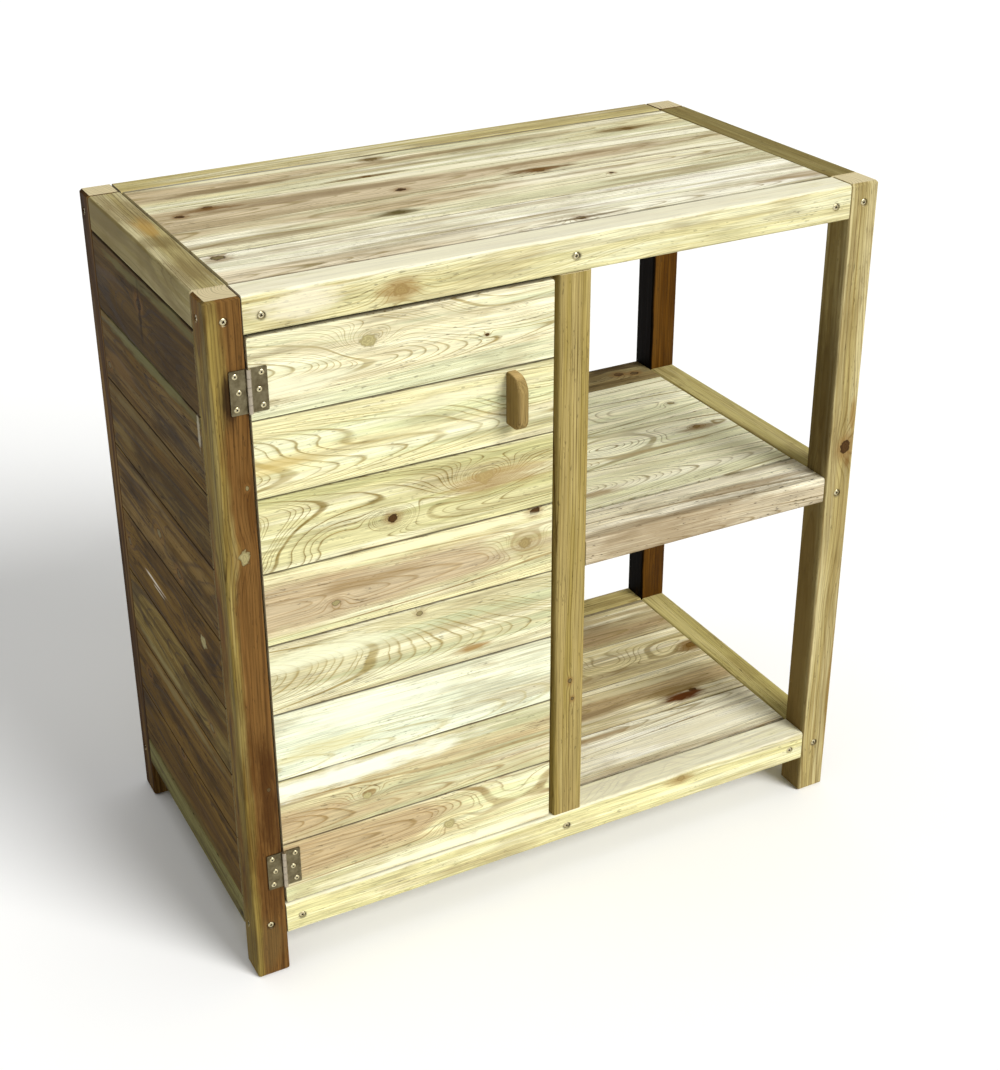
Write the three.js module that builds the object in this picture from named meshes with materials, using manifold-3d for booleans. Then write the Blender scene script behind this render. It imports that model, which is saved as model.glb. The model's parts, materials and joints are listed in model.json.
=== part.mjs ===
// Garden potting bench in pressure-treated pine: a slatted worktop on a post-and-rail frame,
// a cupboard with a boarded door on the left and an open bay with a middle shelf on the right.
// Millimetres, +Z up, front facing -Y. The origin is under the middle of the bench, on the floor.
import * as THREE from "three";
import { mergeVertices } from "three/addons/utils/BufferGeometryUtils.js";
import Module from "manifold-3d";

const wasm = await Module();
wasm.setup();

// ---- Driving dimensions -------------------------------------------------------------------
// Whole bench, measured over the frame (the door handle stands out in front of it).
const WIDTH = 870;
const DEPTH = 465;
const HEIGHT = 900;

// Frame timber: square posts, rails as deep as the posts, long edges rounded over.
const POST = 42;
const RAIL_HEIGHT = 44;
const EDGE_RADIUS = 4;
const POST_CHAMFER = 3;
const FOOT = 57; // floor to the underside of the bottom rails
const MIDDLE_POST_X = 8; // centre of the two middle posts, a little right of the bench's centre

// Tongue-and-groove boards.
const BOARD_THICKNESS = 16;
const BEARER = 40; // width of the bearers under the boards' ends
const BEARER_RADIUS = 2;
const BATTEN = 22; // battens that the boarded walls are screwed to
const V_CHAMFER = 1.2;
const TONGUE_LENGTH = 6;
const TONGUE_THICKNESS = 5;
const GROOVE_CLEARANCE = 0.35;
const JOINT_GAP = 0.4; // between the shoulders of two boards
const WORKTOP_BOARDS = 4;
const BOARD_SIDE_GAP = 1; // first and last board to the rail beside it
const BOARD_END_GAP = 2; // board ends to the side rails

// Middle shelf, in the right-hand bay.
const SHELF_TOP = 503; // above the floor
const SHELF_RAIL_DEPTH = 70;
const SHELF_RAIL_HEIGHT = 36;
const SHELF_SETBACK = 1.5;
const SHELF_BOARDS = 3;
const SHELF_STRIP = 37; // the last board, ripped down to what was left

// Side panel, and the cupboard's divider and back.
const PANEL_BOARDS = 8;
const PANEL_TOP_EXTRA = 6; // the top board keeps this much of its tongue
const PANEL_BOTTOM_RIP = 4; // taken off the bottom board

// Door.
const DOOR_BOARDS = 8;
const DOOR_TOP_EXTRA = 3;
const DOOR_BOTTOM_RIP = 5.5;
const DOOR_HINGE_GAP = 2;
const DOOR_LATCH_GAP = 7.5;
const DOOR_TOP_GAP = 2;
const DOOR_BOTTOM_GAP = 3;
const DOOR_CORNER_RADIUS = 5;
const LEDGE_HEIGHT = 70;
const LEDGE_THICKNESS = 18;
const LEDGE_HINGE_INSET = 34;
const LEDGE_LATCH_INSET = 26;
const LEDGE_CORNER_RADIUS = 3;
const STOP_WIDTH = 15; // strip beside the front middle post, which the door closes on
const STOP_CLEARANCE = 0.6;

// Handle: a D-shaped block.
const HANDLE_HEIGHT = 66;
const HANDLE_REACH = 30;
const HANDLE_THICKNESS = 14;
const HANDLE_TOP_RADIUS = 20;
const HANDLE_BOTTOM_RADIUS = 14;
const HANDLE_EDGE = 3;
const HANDLE_FROM_LATCH = 55.5; // door's free edge to the handle's middle
const HANDLE_FROM_TOP = 134.5; // door's top edge to the handle's middle

// Butt hinges, screwed on the front faces.
const HINGE_LENGTH = 51;
const LEAF_REACH = 21.5; // pin axis to the leaf's free edge
const LEAF_THICKNESS = 1.5;
const LEAF_CORNER = 1.5;
const KNUCKLE_RADIUS = 2.9;
const KNUCKLES = 5;
const KNUCKLE_GAP = 0.4;
const PIN_RADIUS = 1.35;
const PIN_CLEARANCE = 0.1;
const LEAF_CUTBACK = 0.6; // leaf edge to the other leaf's knuckles
const HINGE_FROM_TOP = 60;
const HINGE_FROM_BOTTOM = 55;
const SCREW_OUTER = 15; // pin axis to the two outer screws
const SCREW_INNER = 11.5; // pin axis to the middle screw
const SCREW_SPREAD = 19; // middle screw to the outer ones, along the pin
const SCREW_HOLE_RADIUS = 1.8;
const SCREW_SINK_RADIUS = 3;

// Screws that hold the frame together: each head lies in a shallow hollow.
const HOLLOW_RADIUS = 5;
const HOLLOW_DEPTH = 1.6;
const HOLLOW_SIDES = 16;
const SCREW_FROM_TOP = 25;
const SCREW_ABOVE_FOOT = 21; // above the bottom rails' underside
const SCREW_UNDER_SHELF = 26;
const SIDE_SCREW_DROP = 9; // side screws pass below the front ones at the bottom
const SIDE_SCREW_FROM_FRONT = 27;
const SIDE_SCREW_FROM_BACK = 15;

// Clearance between pieces that touch.
const FIT = 0.3;

const ARC_STEPS = 6; // facets in a quarter of a rounded edge
const ROUND_SIDES = 24;

// ---- Finishes -----------------------------------------------------------------------------
const wood = (name, color) =>
  new THREE.MeshStandardMaterial({ name, color, roughness: 0.72, metalness: 0 });
const PALE_PINE = wood("pale treated pine", "#d8cfa0");
const TAN_PINE = wood("tan treated pine", "#a78e58");
const BROWN_PINE = wood("brown stained pine", "#8a5c2c");
const SHADED_PINE = wood("grey-brown treated pine", "#6f5f3f");
const PLATED_STEEL = new THREE.MeshStandardMaterial({
  name: "yellow-plated steel", color: "#77704f", roughness: 0.42, metalness: 1,
});
const BRIGHT_STEEL = new THREE.MeshStandardMaterial({
  name: "bright steel", color: "#b9b7ac", roughness: 0.3, metalness: 1,
});

// ---- Shapes and placing -------------------------------------------------------------------
const X = new THREE.Vector3(1, 0, 0);
const Y = new THREE.Vector3(0, 1, 0);
const Z = new THREE.Vector3(0, 0, 1);

// Lies the shape's x along `across`, its y along `up`, and its extrusion along their cross product.
function placed(geometry, across, up, origin) {
  const along = new THREE.Vector3().crossVectors(across, up);
  const matrix = new THREE.Matrix4().makeBasis(across, up, along).setPosition(...origin);
  return geometry.applyMatrix4(matrix);
}

function roundedRectangle(width, height, radius, x = 0, y = 0) {
  const shape = new THREE.Shape();
  shape.absarc(x + width - radius, y + radius, radius, -Math.PI / 2, 0);
  shape.absarc(x + width - radius, y + height - radius, radius, 0, Math.PI / 2);
  shape.absarc(x + radius, y + height - radius, radius, Math.PI / 2, Math.PI);
  shape.absarc(x + radius, y + radius, radius, Math.PI, 1.5 * Math.PI);
  return shape;
}

function extruded(shape, depth) {
  return new THREE.ExtrudeGeometry(shape, { depth, curveSegments: ARC_STEPS, bevelEnabled: false });
}

// An extrusion whose two ends are chamfered, inside the shape's own outline.
function easedExtrusion(shape, depth, ease) {
  const geometry = new THREE.ExtrudeGeometry(shape, {
    depth: depth - 2 * ease,
    curveSegments: ARC_STEPS,
    bevelThickness: ease,
    bevelSize: ease,
    bevelOffset: -ease,
    bevelSegments: 1,
  });
  return geometry.translate(0, 0, ease);
}

function solidOf(geometry) {
  const plain = geometry.clone();
  plain.deleteAttribute("normal");
  plain.deleteAttribute("uv");
  const merged = mergeVertices(plain, 1e-3);
  return new wasm.Manifold(new wasm.Mesh({
    numProp: 3,
    vertProperties: new Float32Array(merged.attributes.position.array),
    triVerts: new Uint32Array(merged.index.array),
  }));
}

function geometryOf(solid) {
  const { vertProperties, triVerts } = solid.getMesh();
  const geometry = new THREE.BufferGeometry();
  geometry.setAttribute("position", new THREE.BufferAttribute(vertProperties, 3));
  geometry.setIndex(new THREE.BufferAttribute(triVerts, 1));
  return geometry;
}

const bench = new THREE.Group();
// The frame's front faces lie on y = 0 inside this group; the origin is the middle of everything.
bench.position.y = (HANDLE_REACH - DEPTH) / 2;

function add(name, geometry, material) {
  const mesh = new THREE.Mesh(geometry, material);
  mesh.name = name;
  bench.add(mesh);
  return mesh;
}

// ---- Timbers and boards -------------------------------------------------------------------
// Each takes the box that it fills as [low, high] pairs along x, y and z.
const size = ([low, high]) => high - low;

function railAlongX(name, x, y, z, material, radius = EDGE_RADIUS) {
  const shape = roundedRectangle(size(y), size(z), radius);
  return add(name, placed(extruded(shape, size(x)), Y, Z, [x[0], y[0], z[0]]), material);
}

function railAlongY(name, x, y, z, material, radius = EDGE_RADIUS) {
  const shape = roundedRectangle(size(z), size(x), radius);
  return add(name, placed(extruded(shape, size(y)), Z, X, [x[0], y[0], z[0]]), material);
}

function cornerPost(name, x, y, material) {
  const shape = roundedRectangle(size(x), size(y), EDGE_RADIUS);
  const geometry = easedExtrusion(shape, HEIGHT, POST_CHAMFER);
  return add(name, placed(geometry, X, Y, [x[0], y[0], 0]), material);
}

// Section of a tongue-and-groove board: x across it, y = 0 on its V-jointed face.
function boardSection(cover, hasGroove, hasTongue) {
  const low = JOINT_GAP / 2;
  const high = cover - JOINT_GAP / 2;
  const back = -BOARD_THICKNESS;
  const middle = back / 2;
  const points = [
    [low, -V_CHAMFER],
    [low + V_CHAMFER, 0],
    [high - V_CHAMFER, 0],
    [high, -V_CHAMFER],
  ];
  if (hasTongue) {
    points.push(
      [high, middle + TONGUE_THICKNESS / 2],
      [high + TONGUE_LENGTH, middle + TONGUE_THICKNESS / 2],
      [high + TONGUE_LENGTH, middle - TONGUE_THICKNESS / 2],
      [high, middle - TONGUE_THICKNESS / 2],
    );
  }
  points.push([high, back], [low, back]);
  if (hasGroove) {
    const half = TONGUE_THICKNESS / 2 + GROOVE_CLEARANCE;
    const floor = low + TONGUE_LENGTH + GROOVE_CLEARANCE - JOINT_GAP;
    points.push(
      [low, middle - half],
      [floor, middle - half],
      [floor, middle + half],
      [low, middle + half],
    );
  }
  return new THREE.Shape(points.map(([x, y]) => new THREE.Vector2(x, y)));
}

// Widths of a stack of boards, from the tongue-up bottom one to the top one.
function stackWidths(height, count, topExtra, bottomRip) {
  const cover = (height - topExtra + bottomRip) / count;
  return Array.from({ length: count }, (_, i) => {
    if (i === 0) return cover - bottomRip;
    return i === count - 1 ? cover + topExtra : cover;
  });
}

// Floor of flat boards lying along x, from front to back, faces up.
function boardFloor(name, x, y, top, widths, material) {
  let at = y;
  widths.forEach((width, i) => {
    const section = boardSection(width, i > 0, i < widths.length - 1);
    const geometry = placed(extruded(section, size(x)), Y, Z, [x[0], at, top]);
    add(`${name}_${i + 1}`, geometry, material);
    at += width;
  });
}

// Section of a whole wall of boards joined into one piece, with a V joint on both faces.
function joinedSection(widths) {
  const total = widths.reduce((sum, width) => sum + width, 0);
  const joints = [];
  widths.slice(0, -1).reduce((sum, width) => {
    joints.push(sum + width);
    return sum + width;
  }, 0);
  const notch = (at, face, side) => [
    [at - side * V_CHAMFER, face],
    [at, face - Math.sign(face + BOARD_THICKNESS / 2) * V_CHAMFER],
    [at + side * V_CHAMFER, face],
  ];
  const front = joints.flatMap((at) => notch(at, 0, 1));
  const rear = joints.toReversed().flatMap((at) => notch(at, -BOARD_THICKNESS, -1));
  const outline = [
    [0, 0], ...front, [total, 0], [total, -BOARD_THICKNESS], ...rear, [0, -BOARD_THICKNESS],
  ];
  return new THREE.Shape(outline.map(([x, y]) => new THREE.Vector2(x, y)));
}

// ---- Levels and lines shared by the pieces ------------------------------------------------
const left = -WIDTH / 2;
const right = WIDTH / 2;
const insideLeft = left + POST;
const insideRight = right - POST;
const insideFront = POST;
const insideBack = DEPTH - POST;
const topRail = [HEIGHT - RAIL_HEIGHT, HEIGHT];
const bottomRail = [FOOT, FOOT + RAIL_HEIGHT];
const bayFloor = bottomRail[1];
const bayCeiling = topRail[0];
const middlePost = [MIDDLE_POST_X - POST / 2, MIDDLE_POST_X + POST / 2];
const frontBand = [0, POST];
const backBand = [DEPTH - POST, DEPTH];
const leftBand = [left, insideLeft];
const rightBand = [insideRight, right];
const betweenPostsX = [insideLeft + FIT, insideRight - FIT];
const betweenPostsY = [insideFront + FIT, insideBack - FIT];
const bayHeight = [bayFloor + FIT, bayCeiling - FIT];
const shelfReach = SHELF_SETBACK + SHELF_RAIL_DEPTH + FIT;
const betweenShelfRails = [shelfReach, DEPTH - shelfReach];
const shelfBearer = [SHELF_TOP - RAIL_HEIGHT + EDGE_RADIUS, SHELF_TOP - BOARD_THICKNESS - FIT];

// ---- Frame --------------------------------------------------------------------------------
function frame() {
  cornerPost("post_front_left", leftBand, frontBand, BROWN_PINE);
  cornerPost("post_front_right", rightBand, frontBand, TAN_PINE);
  cornerPost("post_back_left", leftBand, backBand, SHADED_PINE);
  cornerPost("post_back_right", rightBand, backBand, BROWN_PINE);

  const levels = [["top_rail", topRail], ["bottom_rail", bottomRail]];
  for (const [name, z] of levels) {
    railAlongX(`${name}_front`, betweenPostsX, frontBand, z, PALE_PINE);
    railAlongX(`${name}_back`, betweenPostsX, backBand, z, TAN_PINE);
    railAlongY(`${name}_left`, leftBand, betweenPostsY, z, TAN_PINE);
    railAlongY(`${name}_right`, rightBand, betweenPostsY, z, TAN_PINE);
  }
}

// Section of the front middle post with the strip beside it that the door closes on.
function postWithStop() {
  const r = EDGE_RADIUS;
  const stopFront = BOARD_THICKNESS + STOP_CLEARANCE;
  const shape = new THREE.Shape();
  shape.absarc(POST - r, r, r, -Math.PI / 2, 0);
  shape.absarc(POST - r, POST - r, r, 0, Math.PI / 2);
  shape.lineTo(-STOP_WIDTH, POST);
  shape.lineTo(-STOP_WIDTH, stopFront);
  shape.lineTo(0, stopFront);
  shape.absarc(r, r, r, Math.PI, 1.5 * Math.PI);
  return shape;
}

function middlePosts() {
  const front = extruded(postWithStop(), size(bayHeight));
  add("post_front_middle", placed(front, X, Y, [middlePost[0], 0, bayHeight[0]]), TAN_PINE);
  const back = extruded(roundedRectangle(POST, POST, EDGE_RADIUS), size(bayHeight));
  const backAt = [middlePost[0], backBand[0], bayHeight[0]];
  add("post_back_middle", placed(back, X, Y, backAt), TAN_PINE);
}

// One solid out of overlapping plain blocks, each a box given by [low, high] pairs.
function blockSolid([x, y, z]) {
  const block = new THREE.BoxGeometry(size(x), size(y), size(z));
  return solidOf(block.translate((x[0] + x[1]) / 2, (y[0] + y[1]) / 2, (z[0] + z[1]) / 2));
}

function joined(solids) {
  return geometryOf(solids.slice(1).reduce((whole, solid) => whole.add(solid), solids[0]));
}

// What the boards' ends rest on inside the side rails. The left worktop bearer also carries the
// two battens that the side boards are screwed to.
function bearers() {
  const height = RAIL_HEIGHT - BOARD_THICKNESS - FIT;
  const worktop = [topRail[0], topRail[0] + height];
  const floor = [FOOT, FOOT + height];
  const onLeft = [insideLeft + FIT, insideLeft + FIT + BEARER];
  const onRight = [insideRight - FIT - BEARER, insideRight - FIT];
  railAlongY("worktop_bearer_right", onRight, betweenPostsY, worktop, TAN_PINE, BEARER_RADIUS);
  railAlongY("floor_bearer_right", onRight, betweenPostsY, floor, TAN_PINE, BEARER_RADIUS);
  railAlongY("floor_bearer_left", onLeft, betweenPostsY, floor, TAN_PINE, BEARER_RADIUS);

  const batten = [left + BOARD_THICKNESS + FIT, insideLeft + FIT + 1];
  const upright = [insideLeft + FIT, insideLeft + FIT + BATTEN];
  const [front, back] = betweenPostsY;
  const above = [bayHeight[0], topRail[0] + 1];
  const pieces = [[onLeft, [front, back], worktop]];
  for (const y of [[front, front + BATTEN], [back - BATTEN, back]]) {
    pieces.push([upright, y, above], [batten, y, bayHeight]);
  }
  add("left_inner_frame", joined(pieces.map(blockSolid)), TAN_PINE);
}

// ---- Worktop, floor and middle shelf ------------------------------------------------------
function flatBoards() {
  const x = [insideLeft + BOARD_END_GAP, insideRight - BOARD_END_GAP];
  const cover = (insideBack - insideFront - 2 * BOARD_SIDE_GAP) / WORKTOP_BOARDS;
  const widths = Array(WORKTOP_BOARDS).fill(cover);
  const first = insideFront + BOARD_SIDE_GAP;
  boardFloor("worktop_board", x, first, HEIGHT, widths, PALE_PINE);
  boardFloor("floor_board", x, first, bayFloor, widths, PALE_PINE);
}

function middleShelf() {
  const z = [SHELF_TOP - SHELF_RAIL_HEIGHT, SHELF_TOP];
  const x = [middlePost[1] + FIT, insideRight - FIT];
  const front = [SHELF_SETBACK, SHELF_SETBACK + SHELF_RAIL_DEPTH];
  const back = [DEPTH - SHELF_SETBACK - SHELF_RAIL_DEPTH, DEPTH - SHELF_SETBACK];
  railAlongX("shelf_rail_front", x, front, z, PALE_PINE);
  railAlongX("shelf_rail_back", x, back, z, SHADED_PINE);
  const sideRail = placed(
    extruded(roundedRectangle(RAIL_HEIGHT, POST, EDGE_RADIUS), size(betweenPostsY)), Z, X,
    [insideRight, betweenPostsY[0], SHELF_TOP - RAIL_HEIGHT],
  );
  const bearer = blockSolid([[insideRight - BATTEN, insideRight + 1], betweenShelfRails, shelfBearer]);
  add("shelf_rail_right", joined([solidOf(sideRail), bearer]), TAN_PINE);

  const first = front[1] + BOARD_SIDE_GAP;
  const room = back[0] - BOARD_SIDE_GAP - first;
  const cover = (room - SHELF_STRIP) / SHELF_BOARDS;
  const widths = [...Array(SHELF_BOARDS).fill(cover), SHELF_STRIP];
  boardFloor("shelf_board", [x[0], insideRight - BOARD_END_GAP], first, SHELF_TOP, widths, PALE_PINE);
}

// ---- Boarded walls ------------------------------------------------------------------------
function walls() {
  const widths = stackWidths(size(bayHeight), PANEL_BOARDS, PANEL_TOP_EXTRA, PANEL_BOTTOM_RIP);
  const outward = X.clone().negate();
  let at = bayHeight[0];
  widths.forEach((width, i) => {
    const section = boardSection(width, i > 0, i < widths.length - 1);
    const wallEnd = [left, betweenPostsY[1], at];
    const geometry = placed(extruded(section, size(betweenPostsY)), Z, outward, wallEnd);
    add(`side_board_${i + 1}`, geometry, SHADED_PINE);
    at += width;
  });

  const section = joinedSection(widths);
  const dividerFace = [middlePost[1] - BOARD_THICKNESS, middlePost[1]];
  const divider = placed(
    extruded(section, size(betweenPostsY)), Z, outward,
    [dividerFace[0], betweenPostsY[1], bayHeight[0]],
  );
  const behindDivider = [dividerFace[0] - BATTEN, dividerFace[0] + 1];
  const [front, back] = betweenPostsY;
  add("divider_panel", joined([
    solidOf(divider),
    blockSolid([behindDivider, [front, front + BATTEN], bayHeight]),
    blockSolid([behindDivider, [back - BATTEN, back], bayHeight]),
    blockSolid([[middlePost[1] - 1, middlePost[1] + BATTEN], betweenShelfRails, shelfBearer]),
  ]), TAN_PINE);
  const boards = placed(
    extruded(section, middlePost[0] - insideLeft - 2 * FIT), Z, Y,
    [middlePost[0] - FIT, DEPTH, bayHeight[0]],
  );
  const panelFront = DEPTH - BOARD_THICKNESS;
  const behind = [panelFront - BATTEN, panelFront + 1];
  const clearOfFrame = insideLeft + 2 * FIT + BATTEN;
  add("back_panel", joined([
    solidOf(boards),
    blockSolid([[clearOfFrame, clearOfFrame + BATTEN], behind, bayHeight]),
    blockSolid([[middlePost[0] - FIT - BATTEN, middlePost[0] - FIT], behind, bayHeight]),
  ]), TAN_PINE);
}

// ---- Door ---------------------------------------------------------------------------------
const door = {
  x: [insideLeft + DOOR_HINGE_GAP, middlePost[0] - DOOR_LATCH_GAP],
  z: [bayFloor + DOOR_BOTTOM_GAP, bayCeiling - DOOR_TOP_GAP],
};
const pinAxis = { x: insideLeft + DOOR_HINGE_GAP / 2, y: -FIT - KNUCKLE_RADIUS };

function doorLeaf() {
  const outward = Y.clone().negate();
  const widths = stackWidths(size(door.z), DOOR_BOARDS, DOOR_TOP_EXTRA, DOOR_BOTTOM_RIP);
  const outline = roundedRectangle(size(door.z), size(door.x), DOOR_CORNER_RADIUS);
  const prism = new THREE.ExtrudeGeometry(outline, {
    depth: 2 * BOARD_THICKNESS, curveSegments: ARC_STEPS, bevelEnabled: false,
  });
  const eased = solidOf(placed(prism, Z, X, [door.x[0], -BOARD_THICKNESS / 2, door.z[0]]));
  let at = door.z[0];
  widths.forEach((width, i) => {
    const section = boardSection(width, i > 0, i < widths.length - 1);
    let geometry = placed(extruded(section, size(door.x)), Z, outward, [door.x[0], 0, at]);
    if (i === 0 || i === widths.length - 1) geometry = geometryOf(solidOf(geometry).intersect(eased));
    add(`door_board_${i + 1}`, geometry, PALE_PINE);
    at += width;
  });
}

// The two ledges that the door's boards are screwed to, behind the hinges.
function doorLedges() {
  const x = [door.x[0] + LEDGE_HINGE_INSET, door.x[1] - LEDGE_LATCH_INSET];
  const y = [BOARD_THICKNESS + FIT, BOARD_THICKNESS + FIT + LEDGE_THICKNESS];
  const centres = { lower: door.z[0] + HINGE_FROM_BOTTOM, upper: door.z[1] - HINGE_FROM_TOP };
  for (const [name, z] of Object.entries(centres)) {
    const band = [z - LEDGE_HEIGHT / 2, z + LEDGE_HEIGHT / 2];
    railAlongX(`door_ledge_${name}`, x, y, band, TAN_PINE, LEDGE_CORNER_RADIUS);
  }
}

// A D-shaped block: its side outline runs out from the door, down and back in.
function doorHandle() {
  const behind = -HANDLE_EDGE;
  const [low, high] = [HANDLE_BOTTOM_RADIUS, HANDLE_TOP_RADIUS];
  const outline = new THREE.Shape();
  outline.moveTo(behind, 0);
  outline.lineTo(HANDLE_REACH - low, 0);
  outline.absarc(HANDLE_REACH - low, low, low, -Math.PI / 2, 0);
  outline.absarc(HANDLE_REACH - high, HANDLE_HEIGHT - high, high, 0, Math.PI / 2);
  outline.lineTo(behind, HANDLE_HEIGHT);
  const block = new THREE.ExtrudeGeometry(outline, {
    depth: HANDLE_THICKNESS - 2 * HANDLE_EDGE,
    curveSegments: 2 * ARC_STEPS,
    bevelThickness: HANDLE_EDGE,
    bevelSize: HANDLE_EDGE,
    bevelOffset: -HANDLE_EDGE,
    bevelSegments: ARC_STEPS,
  });
  block.translate(0, 0, HANDLE_EDGE);
  const foot = [
    door.x[1] - HANDLE_FROM_LATCH + HANDLE_THICKNESS / 2,
    0,
    door.z[1] - HANDLE_FROM_TOP - HANDLE_HEIGHT / 2,
  ];
  const whole = solidOf(placed(block, Y.clone().negate(), Z, foot));
  const doorSide = new THREE.BoxGeometry(4 * HANDLE_THICKNESS, 2 * HANDLE_REACH, 2 * HANDLE_HEIGHT);
  doorSide.translate(foot[0], HANDLE_REACH - FIT, foot[2] + HANDLE_HEIGHT / 2);
  add("door_handle", geometryOf(whole.subtract(solidOf(doorSide))), BROWN_PINE);
}

// ---- Hinges -------------------------------------------------------------------------------
function tube(radius, from, to, sides = ROUND_SIDES, farRadius = radius) {
  const geometry = new THREE.CylinderGeometry(farRadius, radius, to - from, sides);
  return geometry.rotateX(Math.PI / 2).translate(0, 0, (from + to) / 2);
}

// One leaf about its own pin axis, opened flat: side -1 is the post's leaf, +1 the door's.
function hingeLeaf(side) {
  const pitch = HINGE_LENGTH / KNUCKLES;
  const owns = (i) => (i % 2 === 0) === (side === 1);
  const back = KNUCKLE_RADIUS;
  const plateShape = roundedRectangle(LEAF_REACH, HINGE_LENGTH, LEAF_CORNER, 0, 0);
  const plateAt = [side === -1 ? -LEAF_REACH : 0, back, 0];
  let leaf = solidOf(placed(extruded(plateShape, LEAF_THICKNESS), X, Z, plateAt));
  for (let i = 0; i < KNUCKLES; i += 1) {
    const from = i * pitch + (i > 0 ? KNUCKLE_GAP / 2 : 0);
    const to = (i + 1) * pitch - (i < KNUCKLES - 1 ? KNUCKLE_GAP / 2 : 0);
    if (owns(i)) {
      leaf = leaf.add(solidOf(tube(KNUCKLE_RADIUS, from, to)));
    } else {
      const gap = KNUCKLE_GAP / 2;
      const clear = tube(KNUCKLE_RADIUS + LEAF_CUTBACK, i * pitch - gap, (i + 1) * pitch + gap);
      leaf = leaf.subtract(solidOf(clear));
    }
  }
  leaf = leaf.subtract(solidOf(tube(PIN_RADIUS + PIN_CLEARANCE, -1, HINGE_LENGTH + 1)));
  const inner = new THREE.BoxGeometry(2 * LEAF_REACH, 8 * KNUCKLE_RADIUS, 2 * HINGE_LENGTH);
  inner.translate(-side * (LEAF_REACH + KNUCKLE_RADIUS + LEAF_CUTBACK), 0, HINGE_LENGTH / 2);
  leaf = leaf.subtract(solidOf(inner));

  const sink = SCREW_SINK_RADIUS - SCREW_HOLE_RADIUS;
  for (const row of [-1, 0, 1]) {
    const x = side * (row === 0 ? SCREW_INNER : SCREW_OUTER);
    const z = HINGE_LENGTH / 2 + row * SCREW_SPREAD;
    const straight = tube(SCREW_HOLE_RADIUS, back - 2 * LEAF_THICKNESS, back + 1, 12);
    const face = back - LEAF_THICKNESS;
    const cone = tube(SCREW_SINK_RADIUS + 0.1, face - 0.1, face + sink, 12, SCREW_HOLE_RADIUS);
    for (const cutter of [straight, cone]) {
      leaf = leaf.subtract(solidOf(placed(cutter, X.clone(), Z.clone().negate(), [x, 0, z])));
    }
  }
  return leaf;
}

function hinges() {
  const leaves = { post: hingeLeaf(-1), door: hingeLeaf(1) };
  const bottoms = {
    lower: door.z[0] + HINGE_FROM_BOTTOM - HINGE_LENGTH / 2,
    upper: door.z[1] - HINGE_FROM_TOP - HINGE_LENGTH / 2,
  };
  for (const [level, z] of Object.entries(bottoms)) {
    const at = new THREE.Matrix4().makeTranslation(pinAxis.x, pinAxis.y, z);
    for (const [owner, leaf] of Object.entries(leaves)) {
      add(`hinge_${level}_${owner}_leaf`, geometryOf(leaf).applyMatrix4(at), PLATED_STEEL);
    }
    add(`hinge_${level}_pin`, tube(PIN_RADIUS, 0, HINGE_LENGTH).applyMatrix4(at), BRIGHT_STEEL);
  }
}

// ---- Screw hollows ------------------------------------------------------------------------
const FACINGS = { front: [X, Z], back: [Z, X], left: [Z, Y], right: [Y, Z] };

// Sinks a hollow into one face of a piece at each point on that face.
function sinkHollows(name, facing, points) {
  const mesh = bench.getObjectByName(name);
  let solid = solidOf(mesh.geometry);
  for (const point of points) {
    const cone = tube(HOLLOW_RADIUS - 0.6, -HOLLOW_DEPTH, 1, HOLLOW_SIDES, HOLLOW_RADIUS + 0.4);
    solid = solid.subtract(solidOf(placed(cone, ...FACINGS[facing], point)));
  }
  mesh.geometry = geometryOf(solid);
}

function screwHollows() {
  const high = HEIGHT - SCREW_FROM_TOP;
  const low = FOOT + SCREW_ABOVE_FOOT;
  const shelf = SHELF_TOP - SCREW_UNDER_SHELF;
  const railX = [insideLeft + POST / 2, MIDDLE_POST_X, insideRight - POST / 2];
  const posts = { left: left + POST / 2, right: right - POST / 2 };
  const faces = { left, right, front: 0, back: DEPTH };
  const sideY = { front: SIDE_SCREW_FROM_FRONT, back: DEPTH - SIDE_SCREW_FROM_BACK };
  for (const end of ["front", "back"]) {
    for (const side of ["left", "right"]) {
      const name = `post_${end}_${side}`;
      const levels = side === "right" ? [high, shelf, low] : [high, low];
      sinkHollows(name, end, levels.map((z) => [posts[side], faces[end], z]));
      const lowered = levels.map((z) => (z === high ? z : z - SIDE_SCREW_DROP));
      sinkHollows(name, side, lowered.map((z) => [faces[side], sideY[end], z]));
    }
    sinkHollows(`top_rail_${end}`, end, railX.map((x) => [x, faces[end], high]));
    sinkHollows(`bottom_rail_${end}`, end, railX.map((x) => [x, faces[end], low]));
  }
}

frame();
middlePosts();
bearers();
flatBoards();
middleShelf();
walls();
doorLeaf();
doorLedges();
doorHandle();
hinges();
screwHollows();

export default bench;
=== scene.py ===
"""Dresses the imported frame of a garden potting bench: treated pine, steel hinges and screws."""

import json
import logging
import math
from dataclasses import dataclass, field, replace
from enum import Enum
from functools import partial

import bmesh
import bpy
from mathutils import Matrix, Quaternion, Vector


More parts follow.
